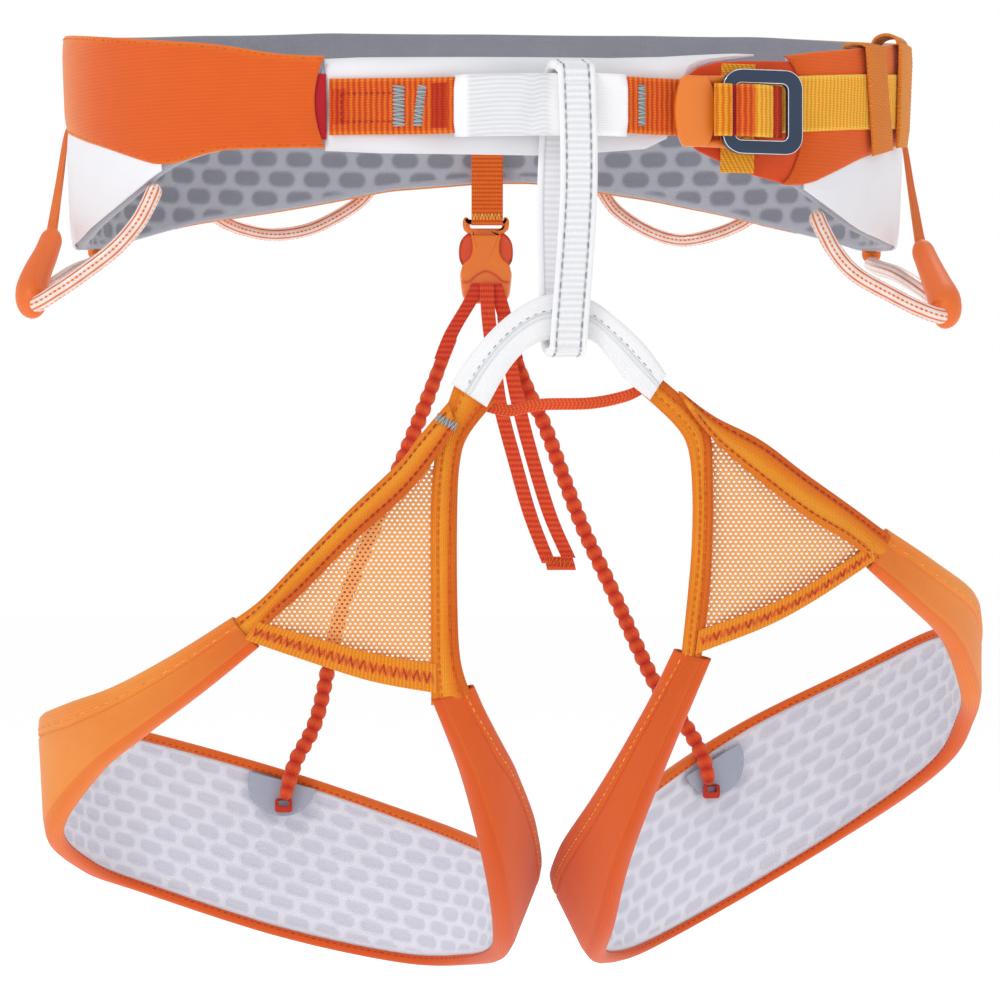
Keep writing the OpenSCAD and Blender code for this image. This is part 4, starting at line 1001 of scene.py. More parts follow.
# Each keeper turns over the belt's top edge
for name, a0, a1, top, lift in (("keeper_front_turn", 63.3, 67.4, 26.2, 0.9),
                                ("keeper_rear_turn", 71.9, 76.4, 29.0, 3.4)):
    across = belt_band(at(a0), at(a1), at(0.0), at(-1.0), 0.5, 0.5, 0.1)
    mid = (across.p[:, 0] + across.p[:, -1]) / 2
    rows = []
    for k in range(13):
        turn = math.pi * k / 12
        out, rise = 4.6 + 4.7 * math.cos(turn), lift * math.sin(turn)
        rows.append([(*(m[:2] + n[:2] * out), top + rise - (0.5 if k in (0, 12) else 0))
                     for m, n in zip(mid, across.n[:, 0])])
    rows = np.array(rows)
    turned = ribbon(rows[:, 0], rows[:, -1], 0.4, 0.4, 0.4, 1, steps=3)
    if turned.n[len(turned.n) // 2, 0, 2] < 0:
        turned.n = -turned.n
    made = band_solid(name, turned, "elastic", -0.55, 0.55, 0.5, tone=0.55)
    put(made, "waist_belt", "keeper_elastic")

# ---------------------------------------------------------------- belay loop and lower sleeve
BELAY_W, BELAY_T, BELAY_TOP, BELAY_BOTTOM, BELAY_MID = 12.4, 3.0, 16.5, -82, 6.1
BELAY_TURN = BELAY_MID * 0.62
BELAY_RING = [(31, -BELAY_MID, BELAY_TOP - 8), (31.5, -BELAY_MID, BELAY_TOP - 45),
              (28.5, -BELAY_MID, BELAY_BOTTOM + 9), (28, -BELAY_TURN, BELAY_BOTTOM + 2.8),
              (27, 0, BELAY_BOTTOM + BELAY_T / 2), (26, BELAY_TURN, BELAY_BOTTOM + 2.8),
              (25, BELAY_MID, BELAY_BOTTOM + 9), (24, BELAY_MID, BELAY_TOP - 45),
              (26, BELAY_MID, BELAY_TOP - 8), (27, BELAY_TURN, BELAY_TOP - 2.8),
              (28, 0, BELAY_TOP - BELAY_T / 2), (30, -BELAY_TURN, BELAY_TOP - 2.8)]
ring = np.array(BELAY_RING) + [0, SLEEVE_Y, 0]
half = np.array([BELAY_W / 2, 0, 0])
belay = ribbon(ring - half, ring + half, 0.3, 0.3, 0.8, 1, True)
share = belay.v / belay.width
inner_zone = np.clip((share - 0.16) / 0.05, 0, 1) * np.clip((0.84 - share) / 0.05, 0, 1)
sag = 0.25 * np.sin(share * math.pi) + 0.15 * np.sin(belay.u * 0.19)
crest = ribs(belay.u + sag, 2.1)
groove = np.exp(-((share - 0.17) / 0.03) ** 2) + np.exp(-((share - 0.83) / 0.03) ** 2)
edge_weave = 0.12 * ribs(belay.u + belay.v * 2, 1.4)
relief = 0.26 * crest * inner_zone + edge_weave * (1 - inner_zone) - 0.35 * groove + 0.15
# The ribs are painted paler on their crests and the grooves along the stitch rows darker: painted shade.
made = band_solid("belay_loop_band", belay, "sleeve", -BELAY_T / 2 + 0.05, BELAY_T / 2 + relief, 1.0,
                  0.60 + 0.25 * crest * inner_zone + 0.3 * (1 - inner_zone) - 0.5 * groove)
put(made, "belay_loop", "belay_webbing", "belay_loop")
loop_seams = Seam()
for share in (0.17, 0.83):
    loop_seams.line(belay.track(share, BELAY_T / 2 + 0.12), 2.3, 1.0)
loop_seams.sew("belay_loop_stitches", 0.2, "thread", "belay_loop")

ARCH_OUTER = [(-11, -108, -91), (-5, -110, -82), (4, SLEEVE_Y, -72), (13, SLEEVE_Y, -65),
              (22, SLEEVE_Y, -61.5), (35, SLEEVE_Y, -63), (45, SLEEVE_Y, -70), (54, -110, -78.5),
              (61, -108, -88)]
ARCH_INNER = [(1, -108, -99), (6, -110, -90), (11, SLEEVE_Y, -83), (17, SLEEVE_Y, -78), (23, SLEEVE_Y, -76.5),
              (35, SLEEVE_Y, -76.5), (41.5, SLEEVE_Y, -82.5), (47.5, -110, -90), (55.5, -108, -96.5)]
arch = ribbon(ARCH_OUTER, ARCH_INNER, 0.4, 0.4, 1.6, -1)
share = arch.v / arch.width
plump = np.sqrt(np.clip(1 - (2 * share - 1) ** 4, 0, 1))
groove = np.exp(-((share - 0.42) / 0.035) ** 2) + 0.8 * np.exp(-((share - 0.52) / 0.03) ** 2)
fine = 0.08 * ribs(arch.v, 1.3) + 0.07 * ripple(arch.u, arch.v, 2.0, 0.7)
# The two grooves along the arch are painted darker: painted shade.
made = band_solid("lower_sleeve_cover", arch, "sleeve", -1.6 - 0.5 * plump,
                  1.3 + 0.75 * plump - 0.3 * groove + fine, 1.8,
                  0.86 - 0.45 * groove + 0.5 * fine - 0.12 * np.clip(share - 0.6, 0, 1))
put(made, "waist_belt", "sleeve_white", "lower_tie_in_sleeve")
Seam().line(arch.track(0.36, 2.02, 0.04, 0.96), 1.7, 1.2).sew("lower_sleeve_stitches", 0.16, "thread")

LINK_PATH = [(-2, -102, -97.5), (8, -101.8, -100), (19, -102.5, -98), (36, -102.5, -97.5), (48, -102.5, -95),
             (54, -103, -92)]
link = ribbon([(x, y, z + 2) for x, y, z in LINK_PATH], [(x, y, z - 2) for x, y, z in LINK_PATH], 0.25, 0.25,
              0.6, -1)
crest = ribs(link.u + 0.5 * np.abs(link.v - 2.0), 1.3)
made = band_solid("leg_link_band", link, "strap_red", -0.7, 0.7 + 0.15 * crest, 0.6, 0.45 + 0.4 * crest)
put(made, "waist_belt", "strap_red_orange", "leg_link_strap")

# ---------------------------------------------------------------- rear strap and buckle
REAR_Y = 98


def narrow_strap(name, path, width, thick, material, *nodes, pitch=2.2, deep=0.1, add=0.0):
    """A ribbed strap of the back, which lies across X along a path."""
    half = np.array([width / 2, 0, 0])
    p = np.array(path, float)
    band = ribbon(p - half, p + half, 0.3, 0.3, 0.5)
    crest = ribs(band.u, pitch, 0.8)
    beads = 0.5 + 0.5 * np.cos(2 * np.pi * (band.v / 0.9 + 0.5 * np.round(band.u / pitch)))
    made = band_solid(name, band, material, -thick / 2 - deep * crest * 0.6, thick / 2 + deep * crest, 0.5,
                      0.3 + 0.5 * crest * (0.6 + 0.4 * beads) + add)
    put(made, "waist_belt", "strap_red_orange", *nodes)


REAR_PATH = [(0.5, 90.5, 4), (0.5, 89.5, -6), (0.5, 92.5, -16), (0.5, 93.1, -25)]
narrow_strap("rear_strap_band", REAR_PATH, 12, 1.3, "web", "rear_strap", pitch=1.6, deep=0.14)
upper, lower = ([(x, y, z) for x in (-5.2, 0.5, 6.2)] for y, z in ((92.0, -20.4), (92.2, -23.0)))
zigzag = Seam().zigzag(smooth(upper, 6), smooth(lower, 6), 1.25, (0, -1, 0))
zigzag.sew("rear_strap_zigzag", 0.24, "thread_yellow")

rear_place = placed(0.0, REAR_Y, 0, 0.0)


def mirrored(side_line):
    """An outline from the list of its right side, bottom to top, as (half width, height)."""
    line = smooth([(x, z, 0) for x, z in side_line], 8)[:, :2]
    return even_loop(np.vstack([line, line[::-1] * [-1, 1]]), 140)


def shifted(place, dy):
    return lambda q: place(q + np.array([0.0, dy, 0.0]))


def align(hole, outline):
    """Turns the numbering of a hole so that it starts nearest the outline's first point."""
    way = outline[0] - outline.mean(0)
    here = hole - hole.mean(0)
    angle = np.arctan2(here[:, 1], here[:, 0]) - math.atan2(way[1], way[0])
    return np.roll(hole, -int(np.argmin(np.abs((angle + math.pi) % (2 * math.pi) - math.pi))), 0)


PLUG_SIDE = [(5.4, -29.4), (5.9, -28.2), (7.4, -27.4), (8.5, -26.3), (8.9, -24.6), (8.8, -22.8), (7.9, -21.6),
             (6.7, -21.9), (6.2, -23.0), (0.01, -23.1)]
plug = mirrored(PLUG_SIDE)
strap_hole = even_loop(rounded(12.4, 1.9, 0.9) + [0, -25.0], len(plug))
made = slab("rear_plug_body", plug, 3.7, 0.9, "plastic", shifted(rear_place, 1.85),
            align(strap_hole, plug), 0.5)
put(made, "waist_belt", "buckle_plastic_orange", "rear_buckle_plug")
SOCKET_SIDE = [(6.8, -54.6), (7.9, -54.0), (8.7, -51.0), (9.3, -46.5), (9.5, -42.6), (9.0, -40.2),
               (7.9, -39.0), (6.2, -37.4), (5.2, -34.5), (5.2, -31.6), (5.7, -29.4), (5.4, -28.5)]
socket = mirrored(SOCKET_SIDE)
for name, back, crown in (("rear_socket_front", -1.6, 0.5), ("rear_socket_back", 3.2, 0.0)):
    made = slab(name, socket, 1.6, 0.7, "plastic", shifted(rear_place, back), crown=crown)
    put(made, "waist_belt", "buckle_plastic_orange")
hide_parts("rear_buckle_socket")
SOCKET_WALL = [(9.0, -41.5), (9.1, -44.0), (8.7, -48.0), (8.1, -52.8)]
for sign, name in ((-1, "rear_socket_side_left"), (1, "rear_socket_side_right")):
    line = [(sign * x, REAR_Y, z) for x, z in SOCKET_WALL]
    made = tube(name, line, 2.4, "plastic", 16, 0.6, (0, 1, 0), 0.34, 0.25)
    put(made, "waist_belt", "buckle_plastic_orange")
bow = [(-9.3, -46.6), (-6.4, -46.2), (-3.6, -43.9), (0, -42.4), (3.6, -43.9), (6.4, -46.2), (9.3, -46.6)]
bow = [(x, REAR_Y - 3.55 - 0.4 * (1 - (x / 9.3) ** 2), z) for x, z in bow]
ridge = tube("rear_socket_ridge", bow, 0.32, "plastic_red", 8, 0.4, (0, 1, 0))
put(ridge, "waist_belt", "buckle_plastic_orange")
PRONG = [(5.0, -28.6), (7.0, -29.4), (8.6, -31.6), (9.1, -34.5), (8.9, -37.5), (8.0, -39.2), (6.6, -40.4),
         (5.2, -40.4), (4.8, -36.0), (4.7, -31.5)]
for sign, side in ((-1, "left"), (1, "right")):
    line = smooth([(x, z, 0) for x, z in PRONG], 6, True)[:, :2]
    line = line if sign > 0 else line[::-1] * [-1, 1]
    made = slab("rear_prong_%s_part" % side, even_loop(line, 60), 2.6, 0.9, "plastic_red",
                shifted(rear_place, 1.3), crown=0.3)
    put(made, "rear_prong_" + side, "buckle_plastic_orange", "rear_buckle_prong_" + side)

# ---------------------------------------------------------------- yoke, risers and tail
YOKE_Y = REAR_Y - 4.4
YOKE_LEFT = [(-2.8, YOKE_Y, -47), (-6, YOKE_Y, -54), (-13, YOKE_Y, -66), (-17, YOKE_Y, -76)]
YOKE_RIGHT = [(3.2, YOKE_Y - 0.4, -47), (5.5, YOKE_Y - 0.4, -54), (9, YOKE_Y - 0.4, -66),
              (11.5, YOKE_Y - 0.4, -76)]
narrow_strap("yoke_strap_left", YOKE_LEFT, 5.6, 1.2, "strap_red", "riser_yoke_webbing", deep=0.08, add=-0.1)
narrow_strap("yoke_strap_right", YOKE_RIGHT, 5.6, 1.2, "strap_red", deep=0.08, add=-0.1)
TAIL_DOWN = [(0.4, 92.0, -47), (1, 90, -60), (3, 87, -76), (5.5, 86, -94), (11, 86, -115), (17, 86, -136),
             (24, 85, -154)]
TAIL_UP = [(7, 91.8, -60), (9, 88.4, -76), (12.5, 87.6, -94), (18, 87.6, -115), (24.5, 87.6, -136),
           (31.5, 86.6, -152)]
TAIL_FOLD = [(27.4, 84.4, -151.5), (28.2, 84.2, -154), (28.8, 84.6, -156.6)]
narrow_strap("tail_strap_down", TAIL_DOWN, 5.4, 1.1, "strap_red", "riser_tail_loop")
narrow_strap("tail_strap_up", TAIL_UP, 5.4, 1.1, "strap_red")
narrow_strap("tail_end_fold", TAIL_FOLD, 11, 1.6, "strap_red")
fold_tack = Seam().bar((28.1, 83.1, -153.6), (1, 0, -0.2), (0, -1, 0), 3.0, 8.5, 0.7, 0.3)
fold_tack.sew("tail_end_stitches", 0.18, "thread_orange")

LEFT_RISER = [(-12.6, 96.6, -66), (-17, 95.4, -77), (-21.5, 93.0, -89), (-27, 92, -103), (-40, 91, -134),
              (-55, 89, -172), (-64, 84, -212), (-72, 77, -229), (-76.2, 75, -243.5)]
RIGHT_RISER = [(8.6, 96.2, -66), (11.8, 95.0, -77), (17, 93.0, -90), (23, 92, -103), (36, 92, -138),
               (48, 92, -164), (64, 88, -199), (76, 77, -216), (82, 72.8, -227), (84.4, 71.8, -237.5)]
SCALLOP = 4.9


def puffs(u):
    """0 at each gathering thread of a riser, 1 between two of them."""
    return np.abs(np.sin(math.pi * u / SCALLOP))


def ruche(u, turn, total):
    """Gathered cloth over elastic: scallops down both edges, flat in front and behind, calm at both ends."""
    side = np.abs(np.cos(turn))
    calm = np.clip((u - 8) / 22, 0.05, 1) * np.clip((total - u) / 8, 0.3, 1)
    return 1.7 + 0.75 * side + calm * (puffs(u) ** 0.8 - 0.35) * (0.3 + 0.7 * side) * 0.85


# The riser is painted darker in the gathers between its puffs: painted shade.
def ruche_tone(u, turn, total):
    return 0.10 + 0.62 * puffs(u) + 0.12 * np.cos(turn * 2) + 0.06 * np.sin(7 * turn + 2 * u)


for side, path in (("left", LEFT_RISER), ("right", RIGHT_RISER)):
    made = tube(side + "_riser_elastic", path, ruche, "riser", 20, 0.45, (0, 1, 0), 1.0, ruche_tone)
    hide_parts(side + "_riser")
    start, end = (tuple(c * MM for c in path[i]) for i in (0, -1))
    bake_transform(made)

# ---------------------------------------------------------------- gear loops
def loop_tone(u, turn, total):
    """White cover with ten orange lines along it, every other one dotted."""
    place = turn / (2 * math.pi) * 10 + 0.5
    near = np.abs(place - np.round(place))
    line = np.clip((0.26 - near) / 0.12, 0, 1)
    dotted = (np.round(place).astype(int) % 2) == 1
    dots = 0.5 + 0.5 * np.sign(np.sin(2 * np.pi * u / 1.7))
    strength = np.where(dotted, 0.35 + 0.65 * dots, 1.0)
    return 0.97 - 0.9 * line * strength - 0.1 * np.sin(u * 0.4) ** 2


FRONT_LEFT = [(-112, -74, -22), (-115, -75, -29), (-119, -76, -36), (-126, -77, -44), (-136, -78, -52),
              (-146, -78, -59), (-153, -75, -63), (-155, -66, -61), (-150, -48, -55), (-146, -20, -49),
              (-143, 10, -45), (-143, 34, -42)]
FRONT_RIGHT = [(113, -73, -31), (116, -74, -38), (120, -75, -45), (127, -77, -53), (139, -78, -60),
               (149, -78, -65), (156, -75, -67), (158, -66, -64), (153, -48, -57), (147, -20, -50),
               (143, 10, -46), (142, 34, -43)]
REAR_LEFT = [(-108, 88, -17), (-103, 92, -22), (-94, 97, -26), (-81, 101, -28), (-66, 105, -25),
             (-50, 107, -16), (-43, 108, -8)]
REAR_RIGHT = [(43, 108, -8), (50, 108, -18), (62, 107, -26), (75, 104, -30), (88, 100, -28), (100, 94, -23),
              (106, 90, -17)]
for name, path, radius in (("front_left", FRONT_LEFT, 2.8), ("front_right", FRONT_RIGHT, 2.8),
                           ("rear_left", REAR_LEFT, 2.5), ("rear_right", REAR_RIGHT, 2.5)):
    made = tube(name + "_loop_tube", path, radius, "loop", 48, 0.42, (0, 0.3, 1), 1.0, loop_tone)
    put(made, name + "_gear_loop", "gear_loop_tube", name + "_gear_loop")


def sheath(u, turn, total):
    """The radius of the sewn anchor round a loop's end, narrower towards the belt."""
    return 3.5 - 1.0 * np.clip(u / total, 0, 1) ** 1.5 + 0.12 * ribs(u, 1.1)


def sheath_tone(u, turn, total):
    return 0.35 + 0.4 * ribs(u, 1.1)


# An anchor runs from a loop's end up to the belt, at an angle, so far out and so much higher
ANCHORS = (("front_left_anchor", FRONT_LEFT[-1], -103.5, 3.0, 15),
           ("front_right_anchor", FRONT_RIGHT[-1], 103.5, 3.0, 15),
           ("rear_left_anchor_outer", REAR_LEFT[0], -129.5, 5.4, 11),
           ("rear_left_anchor_inner", REAR_LEFT[-1], -156.0, 5.4, 11),
           ("rear_right_anchor_inner", REAR_RIGHT[0], 156.0, 5.4, 11),
           ("rear_right_anchor_outer", REAR_RIGHT[-1], 130.0, 5.4, 11))
for name, end, angle, off, rise in ANCHORS:
    path = [end] + [(*waist(angle, off - k)[0], end[2] + rise + 4 * k) for k in (0, 1)]
    made = tube(name, path, sheath, "tape", 20, 0.35, (1, 0, 0), 0.9, sheath_tone)
    put(made, "waist_belt", "gear_loop_strap")


def hook_size(u, turn, total):
    """The radius of a moulded tip: slim with a lip at the strap, full round the bend, drawn in at its end."""
    t = u / total
    size = 4.2 + 1.9 * np.clip(t / 0.75, 0, 1) ** 1.6 - 1.4 * np.clip((t - 0.82) / 0.18, 0, 1) ** 2
    return size + 0.45 * np.exp(-((u - 1.2) / 0.7) ** 2)


# Moulded tips: a hook round each front loop's bend, rising to a socket on the strap that hangs from the belt
LEFT_TIP = [(-151.5, -35.0, -36), (-153, -46, -44), (-155, -58, -52), (-155.6, -67, -58.5),
            (-154.4, -72, -62.6), (-151.0, -75, -64.2)]
RIGHT_TIP = [(153, -35.0, -40), (155, -46, -48), (157, -58, -56), (158.4, -67, -62), (157.6, -72, -66.2),
             (154.6, -75, -67.4)]
for side, name, socket_at, top_z, path in ((-1, "front_left", (-152, -36, -35.6), 2, LEFT_TIP),
                                           (1, "front_right", (153, -36, -39.6), 0, RIGHT_TIP)):
    body = name + "_gear_loop"
    made = tube(name + "_hook_tip", path, hook_size, "tip", 28, 0.6, (0, 0, 1), 0.92, 0.2)
    put(made, body, "gear_loop_tip", name + "_loop_tip")
    top, low = np.array([side * 151.0, 5, top_z]), np.array(socket_at)
    lean = np.array([0.85, side * 0.52, 0])
    # The strap starts tucked under the shell and narrows upwards
    places = ((top + [-2.6 * side, 5, 5], 1.0), (top, 1.0), ((top + low) / 2, 1.5), (low, 2.2))
    strap = ribbon([p - lean * w for p, w in places], [p + lean * w for p, w in places], 0.4, 0.3, 0.4)
    crest = ribs(strap.v, 1.1)
    made = band_solid(name + "_hanging_strap", strap, "tape", -0.7, 0.7 + 0.1 * crest, 0.5, 0.3 + 0.5 * crest)
    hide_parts(name + "_loop_strap")
    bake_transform(made)

# ---------------------------------------------------------------- leg loops
PAD = {
    "left": ([(-84, -78, -170), (-105, -66, -183), (-127, -46, -195), (-145, -25, -202), (-155, 5, -208),
              (-147, 45, -212), (-126, 66, -218), (-77, 82, -233), (-32, 76, -248), (-4, 52, -257),
              (14, 12, -262), (13, -22, -243), (6, -50, -222), (0, -68, -206), (-5, -80, -192)],
             [(-76, -80, -179), (-96, -68, -195), (-117, -50, -211), (-135, -30, -226), (-152, 0, -250),
              (-145, 38, -266), (-126, 62, -277), (-77, 78, -295), (-32, 72, -304), (-9, 50, -302),
              (1, 14, -295), (3, -18, -283), (0, -46, -259), (-8, -66, -225), (-18, -82, -196)]),
    "right": ([(135, -78, -140), (153, -62, -151), (168, -35, -162), (172, 0, -175), (172, 35, -177),
               (164, 60, -180), (137, 80, -195), (100, 84, -214), (68, 68, -234), (43, 46, -252),
               (29, 16, -264), (31, -18, -251), (42, -48, -231), (55, -68, -206), (66, -82, -180)],
              [(129, -80, -152), (145, -64, -165), (160, -40, -179), (171, -5, -200), (173, 25, -212),
               (166, 50, -230), (137, 74, -255), (100, 80, -279), (71, 67, -294), (54, 44, -299),
               (44, 12, -295), (46, -20, -281), (51, -48, -255), (61, -68, -225), (77, -84, -183)]),
}
ARMS = {
    "left_outer": ([(-15, -108, -101), (-21, -106, -108), (-28, -102, -117), (-45, -95, -133),
                    (-62, -89, -150), (-76, -84, -164), (-83, -81, -169)],
                   [(-12, -108, -110), (-19, -106, -120), (-28, -102, -130), (-45, -95, -145),
                    (-62, -89, -162), (-72, -85, -171), (-76, -83, -177)]),
    "left_inner": ([(-11, -106, -95), (-15, -104, -107), (-17, -101, -120), (-18, -97, -137),
                    (-18, -92, -164), (-18, -88, -184), (-18, -85, -194)],
                   [(1, -106, -100.5), (-5, -104, -108), (-8, -101, -117), (-9, -97, -133), (-9, -92, -164),
                    (-8, -88, -184), (-6, -85, -191)]),
    "right_outer": ([(69, -108, -96.5), (77, -106, -102), (93, -102, -110), (108, -97, -121),
                     (124, -90, -132), (134, -84, -139)],
                    [(74, -108, -106), (79, -106, -112), (93, -102, -124), (109, -97, -136), (123, -90, -144),
                     (131, -83, -150)]),
    "right_inner": ([(63.5, -106, -93), (72, -104.5, -100.5), (76, -102.5, -108), (77, -100, -126),
                     (77, -96.5, -145), (76, -92.5, -164), (74, -87, -181)],
                    [(56.5, -106, -98), (64, -104.5, -105), (68.5, -102.5, -113), (70, -100, -127),
                     (70, -96.5, -144), (69, -92.5, -160), (67.5, -87, -177)]),
}
MESH = {
    "left": ([(-20, -101.5, -122), (-33, -99, -135), (-46, -94.5, -146.5), (-59, -90, -160),
              (-70, -86, -171)],
             [(-17, -101.5, -123), (-18, -98.5, -138), (-18, -95.5, -152), (-18, -92.5, -168),
              (-18, -89.8, -184)]),
    "right": ([(79, -102.5, -114), (94, -99.5, -126), (109, -94.5, -137.5), (119, -90.5, -143),
               (127, -86.5, -147)],
              [(78, -102, -115), (78, -99, -130), (78, -96, -145), (78, -93.5, -160), (77.5, -91.5, -171)]),
}
ELASTIC = {
    "left": ([(-72, -85, -172.5), (-56, -87.5, -177), (-37, -89, -182), (-19, -89, -185)],
             [(-77, -83.5, -179), (-59, -86, -185), (-38, -87, -191.5), (-19, -86.5, -195)]),
    "right": ([(75.5, -91, -173), (95, -91.5, -166), (112, -89.5, -157.5), (128, -86, -147)],
              [(74.5, -88.5, -181), (95, -89, -173), (112, -87, -164), (129, -83.5, -153)]),
}
PAD_MID = 3.2         # middle of a leg pad's thickness
FOLD_BACK = 3.0       # how far a cover is turned in over the pad's inner face
TURNED_EDGE = 1.6     # width of the rounded edge of a cover
# The section of a turned edge: (distance in from the pad's edge, distance out), outside face and inside face
EDGE_OUTSIDE = [(FOLD_BACK, 0.15), (FOLD_BACK * 0.92, -0.30), (FOLD_BACK * 0.5, -0.55), (0.6, -0.45),
                (-0.3, 0.2), (-0.75, 1.4), (-0.8, 3.0), (-0.45, 4.6), (0.5, 5.7), (TURNED_EDGE, 6.15)]
EDGE_INSIDE = [(FOLD_BACK, 0.75), (FOLD_BACK * 0.92, 0.55), (FOLD_BACK * 0.5, 0.35), (0.9, 0.4), (0.45, 0.8),
               (0.2, 1.6), (0.2, 3.0), (0.5, 4.2), (1.0, 4.9), (1.8, 5.2)]


def facing_out(band):
    """Turns a band's outward directions so that the middle of the band faces the front."""
    if band.n[len(band.n) // 2, band.n.shape[1] // 2, 1] > 0:
        band.n = -band.n
    return band


def end_pinch(u, least=0.42):
    """How full a pad is along its length: its ends are drawn together round the arm sewn in between."""
    near_end = np.minimum(u, u.max() - u)
    return least + (1 - least) * np.clip(near_end / 14, 0, 1) ** 0.8


def cover_room(width):
    """How much of the full width a cover has for its stitch line and its fold."""
    return np.minimum(1, (width - 2 * TURNED_EDGE) / 22)


def cover_rise(u, width, e):
    """How far a cover's outer face stands out, e mm in from the pad's upper edge, with its stitch line and
    its fold."""
    room = cover_room(width)
    x = (e - TURNED_EDGE) / (width - 2 * TURNED_EDGE)
    full = np.clip(8.8 * x * (1 - x), 0, 1)
    stitched = 0.14 * np.exp(-((e - TURNED_EDGE - 3.3 * room) / 0.5) ** 2)
    folded = 0.6 * np.exp(-((e - TURNED_EDGE - 5.85 * room) / 0.4) ** 2)
    return 6.15 + (0.75 + 0.28 * ripple(u, e, 1.3, 2.4)) * full - (stitched + folded)


def wrapped_shell(name, band, material):
    """A cover over the outer face of a pad, turned in over both its edges."""
    width = band.width[:, 0]
    n = band.n[:, 0]
    w = unit(band.p[:, -1] - band.p[:, 0])
    u = band.u[:, 0]

    def edge(section, back):
        """The turned edge along the band's first or last edge."""
        base = band.p[:, 0] + w * (width[:, None] if back else 0.0)
        return [base + w * (-e if back else e) + n * o for e, o in section]

    room = cover_room(width)
    steps = [TURNED_EDGE + (e - TURNED_EDGE) * room
             for e in (2.6, 3.6, 4.4, 4.9, 5.4, 6.2, 6.8, 7.15, 7.45, 7.75, 8.1, 8.8)]
    last = steps[-1]
    steps += [last + (width - TURNED_EDGE - last) * x for x in np.linspace(0, 1, 34)[1:-1]]
    spots = [band.p[:, 0] + w * e[:, None] for e in steps]
    outer = [spot + n * cover_rise(u, width, e)[:, None] for spot, e in zip(spots, steps)]
    inner = [spot + n * 5.25 for spot in spots]
    outer = edge(EDGE_OUTSIDE, False) + outer + edge(EDGE_OUTSIDE[::-1], True)
    inner = edge(EDGE_INSIDE, False) + inner + edge(EDGE_INSIDE[::-1], True)
    section = np.stack(outer + inner[::-1], 1)
    far = ((section - band.p[:, :1]) * band.n[:, :1]).sum(-1, keepdims=True) - PAD_MID
    section = section - band.n[:, :1] * far * (1 - end_pinch(u))[:, None, None]
    rows, cols = section.shape[:2]
    half = cols // 2
    index = np.arange(rows * cols).reshape(rows, cols)
    faces = [quads_of(closed(index))]
    for row, turn in ((0, 1), (rows - 1, -1)):
        f, b = index[row, :half], index[row, half:][::-1]
        faces.append(np.stack([f[:-1], b[:-1], b[1:], f[1:]], -1)[:, ::turn])
    around = lengths(section[rows // 2])
    cloth = np.stack(np.broadcast_arrays(u[:, None], around[None], 0.0), -1).reshape(-1, 3)
    # The edges are paler, the faces inside the folds are painted darker as shade, and the cover is painted
    # paler towards the hips as highlight
    shade = np.zeros(cols)
    shade[:9], shade[half - 12:half] = 1.0, -2.2
    paler = np.clip((np.abs(section[:, :1, 0] - 20) - 60) / 80, 0, 1)
    paler = paler * np.clip(1 - section[:, :1, 1] / 60, 0, 1)
    tone = 0.44 + 0.1 * ripple(u[:, None], around[None], 0.8, 3.0) + 0.08 * shade[None] + 0.42 * paler
    return make_mesh(name, section.reshape(-1, 3), faces, material, tone.ravel(), cloth)


for leg, (top, bottom) in PAD.items():
    body = leg + "_leg_loop"
    way = 1 if leg == "left" else -1
    pad = ribbon(top, bottom, 0.9, 0.8, 2.0, way)
    # The CAD's edges follow the same points, so the pad keeps 1.2 mm inside them and the cover wraps round it
    width = pad.width
    cell = cells(pad.u * 0.9, pad.v - width / 2, 10.6, 6.4, 4.2, 2.3) * np.clip(pad.across() - 3.2, 0, 1)
    press = 0.1 + 0.5 * cell - 0.22 * ripple(pad.u, pad.v, 1.9, 2.0) * (1 - 0.5 * cell)
    thin = end_pinch(pad.u, 0.45)
    drawn_in = unit(pad.p[:, -1:] - pad.p[:, :1]) * (1.2 * (1 - 2 * pad.v / width))[..., None]
    trim = np.minimum(pad.u, pad.u.max() - pad.u)[:, 0] > 4.0
    inside = Band((pad.p + drawn_in)[trim], pad.n[trim], pad.u[trim], pad.v[trim])
    press, cell, thin = press[trim], cell[trim], thin[trim]
    lining_tone = 0.90 - 0.54 * cell + 0.08 * ripple(inside.u, inside.v, 0.7, 2.0)
    made = band_solid(leg + "_leg_pad", inside, "leg_lining", PAD_MID + (press - 2.3) * thin,
                      PAD_MID + 1.5 * thin, 1.6, 0.8, lining_tone)
    put(made, body, "leg_lining", leg + "_leg_pad_lining", leg + "_leg_pad_core", leg + "_leg_load_strands")
    cover = ribbon(top, bottom, 1.2, 2.0, 0.8, way)
    made = wrapped_shell(leg + "_leg_cover", cover, "shell")
    put(made, body, "shell_orange", leg + "_leg_pad_shell")
    stitches = Seam()
    over = unit(cover.p[:, -1] - cover.p[:, 0])
    for edge, sign in ((0, 1), (-1, -1)):
        line = cover.p[:, edge] + over * sign * 2.0 - cover.n[:, 0] * 0.45
        stitches.line((line, -cover.n[:, 0]), 1.7, 1.0)
    stitches.sew(leg + "_leg_binding_stitches", 0.17, "facing", body)
    wide = cover.width[:, 0]
    down = TURNED_EDGE + 3.3 * cover_room(wide)
    lift = PAD_MID + (cover_rise(cover.u[:, 0], wide, down) - PAD_MID) * end_pinch(cover.u[:, 0]) + 0.08
    line = cover.p[:, 0] + over * down[:, None] + cover.n[:, 0] * lift[:, None]
    Seam().line((line, cover.n[:, 0]), 1.8, 1.1).sew(leg + "_leg_cover_stitches", 0.2, "thread_yellow", body)


def longer(points, first, last):
    """The same points with its ends moved out by some millimetres."""
    p = np.array(points, float)
    p[0] -= unit(p[1] - p[0]) * first
    p[-1] += unit(p[-1] - p[-2]) * last
    return p


